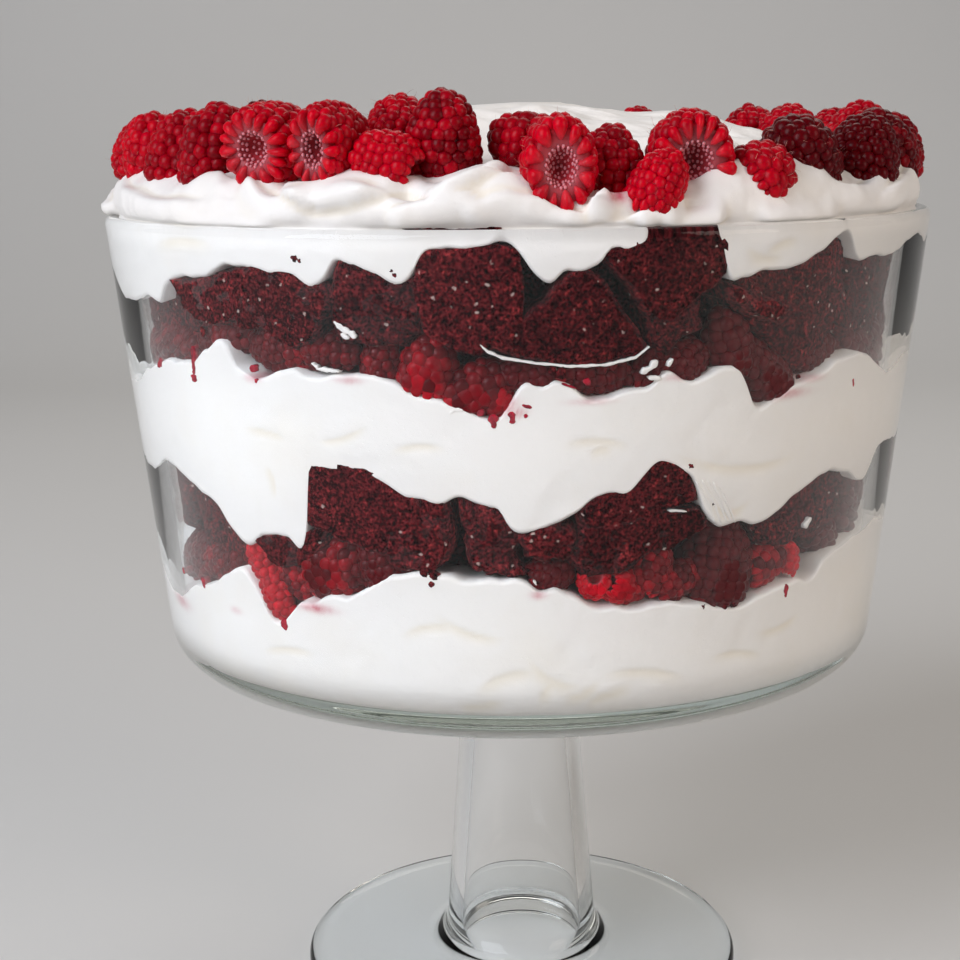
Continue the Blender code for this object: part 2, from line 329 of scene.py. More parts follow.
class CreamSettings(bpy.types.PropertyGroup):
    """The whipped cream"""

    white: colour_setting("White", "Colour of the cream", "#F6F2ED")
    # Painted shade: this warm colour is painted into the creases and into the hollows below the folds; it also
    # tints random warm patches.
    warm_patch_and_crease_shade: colour_setting("Ivory", "Colour in its folds", "#EADCC0")
    juice: colour_setting("Juice", "Colour of raspberry juice on it", "#C0304E")
    edge_roll: length_setting("Edge roll", "Rounding of a layer's edge as it leaves the glass", 0.9)
    step: length_setting("Step", "Distance between points up the cream", 0.9)


FRONT = 80.0  # degrees to either side where the layers' edges are drawn
FRONT_STEP = 0.5
BACK_STEP = 1.0
BLEND = 12  # degrees over which a drawn edge gives way to the solid's own

# Where each layer's edge runs on the glass across the front: (angle, height in mm).
TOP_CREAM_UNDER = (
    (-75, 194), (-66, 191), (-61, 190.5), (-57, 193), (-53, 193), (-51.5, 196), (-47, 198), (-42, 199),
    (-38, 201.5), (-34, 201.5), (-30.5, 200.7), (-28, 201), (-25, 197.4), (-23.4, 199), (-21.8, 202.7),
    (-20, 202.7), (-17.3, 201), (-15, 199.4), (-13, 199.4), (-12, 201.6), (-11, 204.7), (-8.5, 206),
    (-4, 206.6), (-0.6, 206.5), (0.6, 204), (2, 201), (4, 198.7), (5.7, 201.3), (7.6, 201.6), (10, 204),
    (10.8, 206), (13, 205.2), (14.8, 206), (16.2, 210.6), (23, 210.6), (24.6, 206), (26, 199.2),
    (28.4, 198.7), (31.8, 200.6), (36.5, 200.4), (40.4, 203), (43, 206), (45.6, 206), (47, 202), (51, 201),
    (58, 201.6), (66, 204), (74, 202),
)
MIDDLE_CREAM_TOP = (
    (-74, 172), (-66.7, 171.3), (-61, 175.5), (-55, 178.5), (-50.5, 179.4), (-46.8, 180), (-44, 182.5),
    (-39.6, 183), (-38.6, 180), (-37, 178.4), (-31.5, 179.2), (-29, 180.3), (-27.5, 179), (-20, 179.5),
    (-16, 178.3), (-13, 176.4), (-10, 175.3), (-7.5, 173.6), (-4.4, 171), (-2, 170.6), (-0.6, 174),
    (0.4, 177.3), (3, 177.5), (4.7, 178.7), (6.2, 177.7), (8, 175.1), (11, 175), (13.9, 176.6),
    (16, 176.4), (18.7, 179.7), (21, 176.8), (23.6, 177.5), (26, 180.2), (28.6, 179.4), (30, 176),
    (31.4, 171.5), (35, 172.3), (39.3, 175.2), (43, 176), (46, 178), (52.2, 179.6), (57, 176), (60, 173),
    (66, 175), (74, 176),
)
MIDDLE_CREAM_UNDER = (
    (-75, 150), (-67, 149.3), (-60, 152.2), (-51, 149), (-46, 145.5), (-43.2, 140.2), (-40.8, 138),
    (-36.5, 140.4), (-33, 141), (-29.2, 144), (-28, 157), (-26.6, 158.3), (-24, 158.1), (-22, 156.8),
    (-19.4, 157), (-17, 155.3), (-15, 153), (-12, 152), (-10, 151.5), (-8, 153), (-4, 151.7), (-2.3, 151),
    (-1.2, 147.5), (0.3, 145.2), (3, 145.7), (5.5, 147.4), (8, 150), (11.3, 153.9), (14.5, 153.7),
    (16.4, 157.4), (18.3, 159.8), (21.6, 157.8), (23.4, 154.6), (25, 148), (26.8, 144.2), (30.3, 144.1),
    (34, 143.7), (37.7, 146.2), (42.3, 149.8), (46, 152), (51.4, 151), (58, 148.4), (61, 153.6),
    (66, 154.5), (75, 151),
)
BOTTOM_CREAM_TOP = (
    (-75, 122), (-67, 118), (-62, 118.5), (-55, 123.7), (-49.6, 126.7), (-44.5, 130.5), (-42, 131),
    (-39.5, 127), (-37.5, 121.3), (-35.7, 120), (-34, 122.2), (-32, 126), (-29.7, 126.6), (-27, 129),
    (-24, 129), (-21, 130.8), (-17.6, 134.2), (-14.7, 136), (-9.9, 136.1), (-6.5, 134.7), (-3, 135),
    (1.2, 134), (2.4, 132), (5, 131.9), (7.7, 130.5), (9.9, 128.4), (13, 128.1), (16.7, 127),
    (20.6, 127.6), (24.8, 126.5), (28, 125.1), (31.6, 124.6), (34.4, 125.8), (36, 126.9), (42.4, 127.3),
    (46.8, 127.8), (48.5, 130.6), (52, 132.8), (58, 134.5), (66, 135.2), (75, 131),
)

# The cream above the rim, from the glass to the middle: (distance from the axis, height above the rim), in
# mm.
DOME = (
    (100.9, -2.2), (100.9, 0), (101.3, 2.2), (99.6, 5.6), (96.2, 8.2), (90.6, 9.5), (80.6, 10.7),
    (62.4, 16), (38.3, 23), (16, 26),
)
DOME_PEAK = 26.5
# How much the cream's shoulder stands up or sinks across the front: (angle, mm).
SHOULDER = (
    (-76, 0.8), (-64, 2.0), (-52, 0.6), (-38, 0.2), (-30, -0.8), (-24, 0.6), (-20.5, 2.4), (-16, 0.6),
    (-10, -0.4), (-4.5, 2.6), (-1.5, 3.4), (2, 0.6), (7, -2.2), (12, -2.6), (16, -1.8), (22, -1.2),
    (30, 0.2), (40, 0.4), (50, -0.8), (60, 0.5), (66, 3.0), (76, 0.8),
)
# Spatula folds on the band of cream above the rim: from (angle, mm up the cream) to the same, width,
# height, bend.
Fold = namedtuple("Fold", "angle up to_angle to_up width height bend")
FOLD_RELIEF = 1.3  # how much higher the folds stand than their heights in the list
BAND_FOLDS = [Fold(*row) for row in (
    (-70, 5.0, -44, 4.0, 4.0, 1.6, -1.0), (-31, 3.2, -47, 3.4, 3.4, 1.5, 1.6),
    (-47, 10.0, -32, 9.0, 3.6, 1.3, 1.6), (-36, 9.4, -25, 5.6, 3.0, 1.6, -1.4),
    (-13.6, 12.4, -30, 12.6, 4.4, 2.6, 3.6), (-20, 5.0, 2, 8.0, 3.6, 1.9, -1.2),
    (-1.5, 13.6, -12.6, 12.6, 4.2, 2.4, 2.6), (-14, 3.4, -4, 4.0, 2.8, 1.6, 1.2),
    (-5, 3.0, 8, 4.4, 2.8, 1.4, 0.8), (3, 9.0, 11, 5.8, 3.2, 1.8, 1.2),
    (8.5, 5.5, 14.5, 8.5, 2.6, 2.4, 0.9), (14, 3.6, 20, 8.2, 3.2, 2.0, -1.0),
    (25, 6.0, 17, 5.0, 3.4, 1.5, 1.6), (23, 9.0, 45, 8.0, 5.2, 2.2, 2.2),
    (43, 4.6, 30, 4.2, 3.2, 1.6, 1.0), (45, 6.0, 64, 10.0, 4.8, 2.0, -1.8),
    (54, 4.2, 74, 5.6, 3.2, 1.6, 0.6),
)]
# Creases where two spoonfuls meet behind the glass: the same places, but heights from the table.
Crease = namedtuple("Crease", "angle up to_angle to_up width bend")
CREASES = [Crease(*row) for row in (
    (-38, 165.5, -30.5, 164, 0.6, 0.5), (-26.5, 164.2, -19, 168.5, 0.5, -1.0),
    (-35, 158, -34, 150, 0.6, 0.8), (-16, 163, -9, 164, 0.5, 1.0), (6, 165, 14, 164, 0.6, 1.0),
    (9, 162.5, 12, 163.4, 0.7, 0.8), (20, 161.5, 40, 158.5, 0.7, -3.0), (26, 150, 32, 149, 0.7, -2.4),
    (-6, 108, 3, 113, 0.9, 2.0), (1, 117, 9, 109, 0.9, -2.0), (3, 105, 6, 112, 0.8, 1.5),
    (6, 106.5, 11, 110.5, 0.8, -1.0), (9, 104.5, 16, 108, 0.8, 1.0), (-9, 105, -2, 106.5, 0.8, -0.8),
    (12, 112, 24, 109, 0.7, 1.4), (-16, 121, -8, 123, 0.6, 1.6), (-11, 126, -2, 121, 0.6, -1.2),
    (28, 113, 37, 111, 0.6, 1.2), (36, 117, 44, 119, 0.6, -1.0), (-40, 112, -30, 114, 0.6, 1.0),
    (-52, 205, -40, 206, 0.8, 1.2), (28, 205, 34, 203, 0.8, -1.4), (31, 203, 36, 206, 0.7, 1.0),
)]
# Where juice has run into the cream: (angle, height in mm, degrees wide, mm high, strength).
Stain = namedtuple("Stain", "angle up wide high strength")
STAINS = [Stain(*row) for row in (
    (-29, 125.3, 2.6, 1.0, 0.75), (-63, 116.5, 3.0, 1.6, 0.5), (36.5, 172.5, 3.4, 1.0, 0.55),
    (41, 175.2, 2.2, 0.8, 0.4), (-21, 178.3, 1.6, 0.8, 0.5), (-35.5, 177.3, 1.2, 0.9, 0.6),
    (-1.5, 173.5, 1.4, 1.6, 0.8), (0.2, 172.0, 0.9, 1.0, 0.6), (9, 174.0, 2.4, 0.7, 0.35),
    (20, 178.4, 1.6, 0.8, 0.4), (2.6, 131.3, 1.0, 0.9, 0.5), (-45, 120.5, 1.2, 0.8, 0.3),
    (12.0, 216.4, 1.6, 1.5, 0.9), (13.8, 215.6, 1.0, 1.0, 0.6),
)]


def column_angles():
    """Angles round the cream, closer together across the front."""
    front = np.arange(-FRONT, FRONT, FRONT_STEP)
    back = np.arange(FRONT, 360 - FRONT, BACK_STEP)
    return np.concatenate([front, back])


def through(knots, angles):
    """A smooth curve through listed (angle, value) knots."""
    place = np.array([k[0] for k in knots], float)
    value = np.array([k[1] for k in knots], float)
    slope = np.gradient(value, place)
    i = np.clip(np.searchsorted(place, angles) - 1, 0, len(place) - 2)
    span = place[i + 1] - place[i]
    t = np.clip((angles - place[i]) / span, 0, 1)
    return (
        (2 * t**3 - 3 * t**2 + 1) * value[i]
        + (t**3 - 2 * t**2 + t) * slope[i] * span
        + (3 * t**2 - 2 * t**3) * value[i + 1]
        + (t**3 - t**2) * slope[i + 1] * span
    )


def solid_edge(node, pick, angles):
    """Where a solid's edge runs on the glass, read from its points, as heights at these angles."""
    count = round(360 / SOLID_STEP)
    heights = {}
    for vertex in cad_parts[node].data.vertices:
        x, y, z = vertex.co
        if math.hypot(x, y) > inside_wall(z) - 1.5 * MM:
            k = round(math.degrees(math.atan2(x, -y)) / SOLID_STEP) % count
            heights[k] = pick(heights.get(k, z), z)
    if len(heights) < count:
        raise RuntimeError(f"{node} has no edge on the glass")
    value = np.array([heights[k] for k in range(count)])
    along = (angles / SOLID_STEP) % count
    i = np.floor(along).astype(int)
    t = along - i
    before, here, after, beyond = (value[(i + k) % count] for k in (-1, 0, 1, 2))
    bend = 2 * before - 5 * here + 4 * after - beyond + t * (3 * (here - after) + beyond - before)
    return here + 0.5 * t * (after - before + t * bend)


def flutter(angles, seed):
    """Small spoon marks along an edge, in metres."""
    draw = random.Random(seed)
    total = 0 * angles
    for cycles, height in ((17, 0.7), (29, 0.5), (47, 0.35), (83, 0.25), (131, 0.16)):
        total = total + height * np.sin(np.radians(angles * cycles) + draw.uniform(0, math.tau))
    return total * MM


def layer_edge(node, pick, front, angles, seed):
    """An edge on the glass: drawn across the front, and the solid's own edge behind."""
    behind = solid_edge(node, pick, angles) + flutter(angles, seed) * 1.6
    near = from_front(angles)
    ahead = through(front, near) * MM + flutter(angles, seed) * 0.5
    share = smooth_step(FRONT - BLEND, FRONT - 2, np.abs(near))
    return ahead * (1 - share) + behind * share


def across(a, b, start, end, bend):
    """How far points lie along a curved line, from 0 to 1, and how far to its side."""
    direction = np.subtract(end, start)
    reach = math.hypot(*direction)
    direction = direction / reach
    da, db = a - start[0], b - start[1]
    t = (da * direction[0] + db * direction[1]) / reach
    side = db * direction[0] - da * direction[1] - bend * 4 * t * (1 - t)
    return t, side


def folded(t, side, width):
    """A fold that climbs slowly and drops off sharply on its far side, from 0 to 1."""
    q = side / width
    rise = smooth_step(-1.1, 0.5, q) * (1 - smooth_step(0.62, 1.0, q))
    return rise * smooth_step(-0.12, 0.15, t) * (1 - smooth_step(0.85, 1.1, t))


def creased(t, side, width):
    """A crease that is deepest in its middle and softer on its lower side, from 0 to 1."""
    soft = np.where(side > 0, 1.0, 2.6) * width
    return np.exp(-((side / soft) ** 2)) * smooth_step(-0.1, 0.35, t) * (1 - smooth_step(0.65, 1.1, t))


def surface_normals(rows):
    """The unit normal at each point of closed rows."""
    around = np.roll(rows, -1, axis=1) - np.roll(rows, 1, axis=1)
    up = np.gradient(rows, axis=0)
    normal = np.cross(around, up)
    return normal / np.maximum(np.linalg.norm(normal, axis=2, keepdims=True), 1e-12)


def wall_rows(low, high, angles, roll_low, roll_high):
    """Rows of cream pressed against the glass between two edges, rounded off at the edges that are free."""
    settings = bpy.context.scene.trifle_cream
    count = int(np.ceil((high - low).max() / settings.step))
    share = np.linspace(0, 1, count + 1)[:, None]
    height = low + (high - low) * share
    radius = inside_wall(height) + PRESS
    roll = settings.edge_roll
    for rolled, distance in ((roll_low, height - low), (roll_high, high - height)):
        if rolled:
            lack = np.clip((roll - distance) / roll, 0, 1)
            radius = radius - roll * (1 - np.sqrt(1 - lack**2 * 0.98))
    return ring(radius, angles, height)


def inner_rows(edge, level, angles, seed):
    """Rows from a layer's edge on the glass in towards the middle, over the lumps of what it lies on."""
    start = inside_wall(edge) - bpy.context.scene.trifle_cream.edge_roll
    rows = []
    for share in (0.95, 0.90, 0.84, 0.76, 0.64, 0.45, 0.22):
        height = level + (edge - level) * max(0.0, (share - 0.6) / 0.4)
        row = ring(start * share, angles, height)
        row[:, 2] += lumps(row, 14 * MM, seed) * 2.0 * MM * min(1.0, (1 - share) * 8)
        rows.append(row)
    return np.array(rows)


def press_marks(rows, angles):
    """How deep the cream is creased at each point of the rows on the glass, from 0 to 1."""
    height = rows[:, :, 2] / MM
    arc = np.radians(from_front(angles)) * CREAM_ARC + 0 * height
    depth = 0 * height
    for c in CREASES:
        a, b = math.radians(c.angle) * CREAM_ARC, math.radians(c.to_angle) * CREAM_ARC
        t, side = across(arc, height, (a, c.up), (b, c.to_up), c.bend)
        depth = np.maximum(depth, creased(t, side, c.width))
    draw = random.Random(5)
    for _ in range(46):
        a = math.radians(from_front(draw.uniform(FRONT, 360 - FRONT))) * CREAM_ARC
        b = a + draw.uniform(8, 22)
        low, climb = draw.uniform(104, 215), draw.uniform(-4, 4)
        t, side = across(arc, height, (a, low), (b, low + climb), draw.uniform(-3, 3))
        depth = np.maximum(depth, 0.5 * creased(t, side, 1.1))
    return depth


def juice_marks(rows, angles):
    """How strongly juice has stained each point, from 0 to 1."""
    near = from_front(angles)
    height = rows[:, :, 2] / MM
    strength = 0 * height
    for s in STAINS:
        spread = ((near[None, :] - s.angle) / s.wide) ** 2 + ((height - s.up) / s.high) ** 2
        strength = np.maximum(strength, s.strength * np.exp(-spread))
    return strength


def cream_layer(name, node, rows, angles, middle, material, sunk=None):
    """One layer of cream from its rows, with creases, folds and juice marks, and painted shade in its creases
    and in the hollows below the dome's folds.
    """
    # The crease depth both sinks the cream a little and sets where it is painted with its warm crease shade.
    fold = press_marks(rows, angles)
    normal = surface_normals(rows)
    rough = lumps(rows.reshape(-1, 3), 9 * MM, 3.0, 2).reshape(rows.shape[:2])
    hollow = np.clip(rough - 0.3, 0, 1) * 1.2
    on_glass = rows[:, :, 2] < RIM - 1 * MM
    rows = rows - normal * ((fold * 0.2 + hollow * 0.3) * on_glass * MM)[..., None]
    # The dome adds its painted shade for the hollows below its folds.
    if sunk is not None:
        fold[-len(sunk):] = np.maximum(fold[-len(sunk):], sunk)
    heap = Heap("fold", "juice")
    heap.add(
        *skin(rows, (0, 0, middle[0]), (0, 0, middle[1])),
        fold=np.append(fold, (0, 0)),
        juice=np.append(juice_marks(rows, angles), (0, 0)),
    )
    piece = heap.build(name, material)
    belongs(piece, "whipped_cream", node)


def swirled(angles, share):
    """How much the spooned swirl lifts the cream at a share of the wall's radius, against the front."""
    turn = 3 * np.radians(angles) + 7.0 * share
    return 1.4 * MM * (np.sin(turn) - math.sin(7.0 * share)) * share * (1 - share) * 4


def berry_feet():
    """Where each topping berry stands: the middle and the reach of its solid, seen from above."""
    feet = []
    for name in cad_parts:
        if name.startswith("raspberry_"):
            low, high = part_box(name)
            middle = (low + high) / 2
            feet.append((middle.x, middle.y, min(high.x - low.x, high.y - low.y) / 2))
    return feet


def dome_rows(angles):
    """Rows over the rim and in across the heap, with spatula folds round the band above the rim, and the
    painted shade in the hollows below the folds.
    """
    path = np.array(DOME)
    reach = np.concatenate([[0], np.cumsum(np.hypot(*np.diff(path, axis=0).T))])
    up = np.concatenate([np.arange(2.0, 20, 0.5), np.arange(20, reach[-1], 1.8)])
    radius = through(np.stack([reach, path[:, 0]], axis=1), up) * MM
    height = through(np.stack([reach, path[:, 1]], axis=1), up) * MM
    near = from_front(angles)
    shoulder = through(SHOULDER, np.clip(near, -76, 76)) * MM
    behind = flutter(angles * 0.4, 11) * 2.2 + 0.8 * MM
    share = smooth_step(66, 80, np.abs(near))
    shoulder = shoulder * (1 - share) + behind * share
    weight = smooth_step(1.5, 8, up) * (1 - smooth_step(13, 30, up))
    rows = []
    for r, h, w in zip(radius, height, weight):
        swirl = swirled(angles, r / inside_wall(RIM)) * (1 - smooth_step(92, 100, r / MM))
        rows.append(ring(r, angles, RIM + h + shoulder * w + swirl * smooth_step(2, 34, r / MM)))
    rows = np.array(rows)
    arc = np.radians(near) * CREAM_ARC + 0 * up[:, None]
    above = up[:, None] + 0 * arc
    relief = 0 * arc
    for f in BAND_FOLDS:
        start = math.radians(f.angle) * CREAM_ARC, f.up
        end = math.radians(f.to_angle) * CREAM_ARC, f.to_up
        relief = relief + FOLD_RELIEF * f.height * folded(*across(arc, above, start, end, f.bend), f.width)
    draw = random.Random(21)
    full = np.radians(angles % 360) * CREAM_ARC + 0 * up[:, None]
    for _ in range(34):
        start = (math.radians(draw.uniform(FRONT, 350 - FRONT)) * CREAM_ARC, draw.uniform(1, 12))
        end = (start[0] + draw.uniform(20, 48), start[1] + draw.uniform(-3.5, 3.5))
        height = draw.uniform(1, 2.2)
        t, side = across(full, above, start, end, draw.uniform(-2, 2))
        relief = relief + height * folded(t, side, draw.uniform(2.6, 4.6))
    fade = smooth_step(1.6, 3.2, up)[:, None]
    relief = relief * fade
    normal = surface_normals(rows)
    flat = rows.reshape(-1, 3)
    wide = lumps(flat, 16 * MM, 6.0, 2).reshape(rows.shape[:2]) * 1.3 * smooth_step(8, 24, up)[:, None]
    wide = wide + lumps(flat, 7 * MM, 8.0, 3).reshape(rows.shape[:2]) * 0.45 * fade
    rows = rows + normal * ((relief + wide) * MM)[..., None]
    for x, y, size in berry_feet():
        apart = np.hypot(rows[:, :, 0] - x, rows[:, :, 1] - y)
        pushed_up = 1.1 * MM * np.exp(-(((apart - size) / (2.2 * MM)) ** 2))
        rows[:, :, 2] += pushed_up * (rows[:, :, 2] > RIM + 4 * MM)
    # Painted shade: points lower than the relief around them, up to 20 mm above the rim, get a shade value for
    # the cream's colour.
    beside = sum(np.roll(relief, step, axis=axis) for step, axis in ((2, 0), (-2, 0), (2, 1), (-2, 1))) / 4
    return rows, np.clip((beside - relief) * 2.2, 0, 1) * (up[:, None] < 20)


def whipped_cream():
    """Whipped cream, spooned in and smoothed with a spatula: warm white with a soft satin gloss and a few
    random warm patches, a warm painted shade in its creases and folds, and pinprick bubbles where the whisk
    broke the surface."""
    settings = bpy.context.scene.trifle_cream
    material, add = new_material("whipped_cream")
    place = add("TexCoord").outputs["Object"]
    fold = add("Attribute", attribute_name="fold").outputs["Fac"]
    juice = add("Attribute", attribute_name="juice").outputs["Fac"]
    patches = add("TexNoise", {"Vector": place, "Scale": 1 / (22 * MM), "Detail": 3.0})
    cast = add("MapRange", {"Value": patches, "From Min": 0.5, "From Max": 0.85, "To Max": 0.2})
    # Painted shade: the creases and fold hollows take 0.4 of the warm shade colour, and random warm patches
    # take up to 0.2 of it.
    crease_shading = add("Math", {0: fold, 1: 0.4}, operation="MULTIPLY")
    deep = add("Math", {0: crease_shading, 1: cast}, operation="MAXIMUM")
    white_with_shade_and_patches = add("MixRGB", {"Fac": deep, "Color1": settings.white, "Color2": settings.warm_patch_and_crease_shade})
    feathers = add("TexNoise", {"Vector": place, "Scale": 1 / (1.6 * MM), "Detail": 2.0})
    spread = add("Math", {0: feathers, 1: 0.5}, operation="ADD")
    stained = add("Math", {0: juice, 1: spread}, operation="MULTIPLY", use_clamp=True)
    colour = add("MixRGB", {"Fac": stained, "Color1": white_with_shade_and_patches, "Color2": settings.juice})
    ripple = add("TexNoise", {"Vector": place, "Scale": 1 / (5 * MM), "Detail": 4.0})
    relief = add("Bump", {"Height": ripple, "Distance": 0.5 * MM, "Strength": 0.35})
    bubbles = add("TexVoronoi", {"Vector": place, "Scale": 1 / (1.3 * MM)})
    pinprick = add("MapRange", {"Value": bubbles, "From Min": 0.06, "From Max": 0.16})
    pitted = add("Bump", {"Height": pinprick, "Distance": 0.1 * MM, "Strength": 0.3, "Normal": relief})
    body = add("BsdfPrincipled", {"Base Color": colour, "Roughness": 0.42, "IOR": 1.4, "Normal": pitted})
    add("OutputMaterial", {"Surface": body})
    return material


class TRIFLE_OT_cream(bpy.types.Operator):
    """Spreads the three layers of whipped cream"""

    bl_idname = "trifle.cream"
    bl_label = "Whipped Cream"

    def execute(self, context):
        angles = column_angles()
        edges = layer_edges(angles)
        cream = whipped_cream()

        bottom = FLOOR - PRESS
        corner = ((0, bottom, 0), (inside_wall(FLOOR) + PRESS, bottom, bowl().corner))
        curve = rounded((*corner, (inside_wall(2 * FLOOR) + PRESS, 2 * FLOOR, 0)), 9)[1:-1]
        under = [ring(curve[0].x * share, angles, bottom) for share in (0.25, 0.5, 0.75, 0.9)]
        under += [ring(point.x, angles, point.y) for point in curve[:-1]]
        low = curve[-1].y + 0 * angles
        top = edges["bottom_top"]
        over = inner_rows(top, top.mean(), angles, 1.0)
        rows = np.concatenate([under, wall_rows(low, top, angles, False, True), over])
        cream_layer("cream_lowest", "cream_bottom", rows, angles, (bottom, top.mean()), cream)

        low, top = edges["middle_under"], edges["middle_top"]
        under = inner_rows(low, low.mean(), angles, 2.0)[::-1]
        over = inner_rows(top, top.mean(), angles, 4.0)
        rows = np.concatenate([under, wall_rows(low, top, angles, True, True), over])
        cream_layer("cream_between", "cream_middle", rows, angles, (low.mean(), top.mean()), cream)

        low = edges["top_under"]
        under = inner_rows(low, low.mean(), angles, 5.0)[::-1]
        lip = RIM - 0.4 * MM + 0 * angles
        wall = wall_rows(np.minimum(low, RIM - 0.7 * MM), lip, angles, True, False)
        # The second value is the painted shade in the hollows below the spatula folds.
        dome, sunk = dome_rows(angles)
        rows = np.concatenate([under, wall, dome])
        cream_layer("cream_heap", "cream_top", rows, angles, (low.mean(), RIM + DOME_PEAK * MM), cream, sunk)
        return {"FINISHED"}


def layer_edges(angles):
    """Where every layer's edge runs on the glass."""
    return {
        "bottom_top": layer_edge("cream_bottom", max, BOTTOM_CREAM_TOP, angles, 1),
        "middle_under": layer_edge("cream_middle", min, MIDDLE_CREAM_UNDER, angles, 2),
        "middle_top": layer_edge("cream_middle", max, MIDDLE_CREAM_TOP, angles, 3),
        "top_under": layer_edge("cream_top", min, TOP_CREAM_UNDER, angles, 4),
    }


# The cake


class CakeSettings(bpy.types.PropertyGroup):
    """The red velvet cake"""

    crumb: colour_setting("Crumb", "Colour of the cut cake", "#521418")
    # Painted highlight on the crumb's grain, which also stands for paler loose crumbs.
    lit: colour_setting("Lit crumb", "Colour of its loose crumbs", "#85292A")
    # Painted shade: the pits and pores are painted this near-black colour for the shade inside them.
    pore: colour_setting("Pore", "Colour inside its pores", "#1C0406")
    pore_size: length_setting("Pore size", "Across a large pore", 1.6)


# A torn piece of cake by the glass. Its outline is (angle, height in mm); gap is how far its face stands
# behind the glass in mm, or how hard it is pressed on if it is below 0; lean and tilt are how much deeper
# the face gets per mm to the right and up; crumbly is how torn it is, and tone how light.
Slab = namedtuple("Slab", "gap lean tilt crumbly tone outline")
UPPER_SLABS = [Slab(*row) for row in (
    (2.5, 0, 0, 0.7, 0.5, ((-75, 198), (-64, 197), (-58, 196), (-56, 188), (-60, 181), (-74, 180))),
    (3.0, 0, 0, 0.8, 0.6, ((-58, 197), (-50, 197), (-47, 192), (-49, 184), (-57, 181), (-60, 188))),
    (-0.3, 0, 0.02, 1.0, 0.9, ((-51, 198), (-45, 198), (-40, 200), (-35, 202), (-33.5, 198), (-36.5, 193),
     (-38, 188.5), (-43, 187.5), (-48.5, 191))),
    (-0.5, 0, 0, 0.9, 0.55, ((-35, 203), (-29.5, 203), (-25, 201), (-22.5, 197), (-23.4, 192), (-26, 186),
     (-28.5, 183.5), (-31.5, 187), (-37, 187.6), (-38.4, 190.5), (-36, 195.5))),
    (0.1, 0.03, -0.05, 0.9, 0.45, ((-21.3, 204.5), (-17, 203), (-11.3, 201), (-11, 188), (-13.5, 185.5),
     (-18, 185), (-22.6, 185.5), (-23.2, 189), (-22.6, 195), (-22.8, 199.5))),
    (-0.9, 0, 0, 0.8, 1.0, ((-21.6, 203.8), (-18.6, 202.4), (-16, 200.2), (-14, 197), (-18, 195.5),
     (-23, 195.8))),
    (-1.1, 0, 0, 0.2, 0.75, ((-11.7, 203.2), (-11.2, 205.2), (-9.5, 206.2), (-4, 206.7), (-0.5, 206.5),
     (0.6, 205), (0.9, 199), (0.8, 191), (-1.4, 186.8), (-4.6, 183.6), (-8.3, 185.8), (-11.2, 188.5),
     (-11.9, 196))),
    (-0.8, 0, 0, 0.45, 0.35, ((-4.1, 186), (-2, 188.8), (0.7, 191.5), (2.5, 194.6), (4.8, 199.5),
     (7.2, 202.6), (9.6, 201), (12, 195), (14.2, 189.4), (16, 185.1), (14.6, 183.2), (10.6, 182),
     (6.4, 181.8), (2, 182.8), (-2, 184.5))),
    (-0.8, 0, 0, 0.45, 0.4, ((9.8, 205), (12.4, 208.5), (16, 211), (24.4, 211), (26, 207), (26.8, 202.6),
     (25.8, 199.6), (23.4, 196.6), (21.3, 193.4), (19.2, 190), (17.4, 190.2), (15, 193.6), (13.2, 198),
     (11, 202))),
    (0.6, 0, 0.03, 1.1, 0.4, ((15.8, 193), (19.2, 191.5), (23.6, 195), (23.8, 188.4), (21.6, 186.2),
     (19, 182.6), (16.8, 185), (15.9, 189))),
    (-0.2, 0, 0, 0.9, 1.25, ((26, 197.6), (30.4, 195.6), (36, 191.2), (34.6, 187.8), (30.8, 190.6),
     (26.2, 194.2))),
    (2.2, -0.02, 0, 0.8, 0.6, ((27.6, 199.4), (32.2, 202), (37.2, 202.4), (42, 205.4), (47, 206),
     (48.5, 192), (46.4, 184.5), (42, 176.4), (39, 175.6), (35.8, 181), (32.6, 185.8), (30.6, 189),
     (28, 193))),
    (3.0, 0, 0, 0.7, 0.3, ((47.5, 203), (55, 203), (66, 204), (68, 188), (59, 178), (50, 180))),
    (2.5, 0, 0, 0.7, 0.5, ((67, 203), (80, 203), (81, 184), (70, 182))),
)]
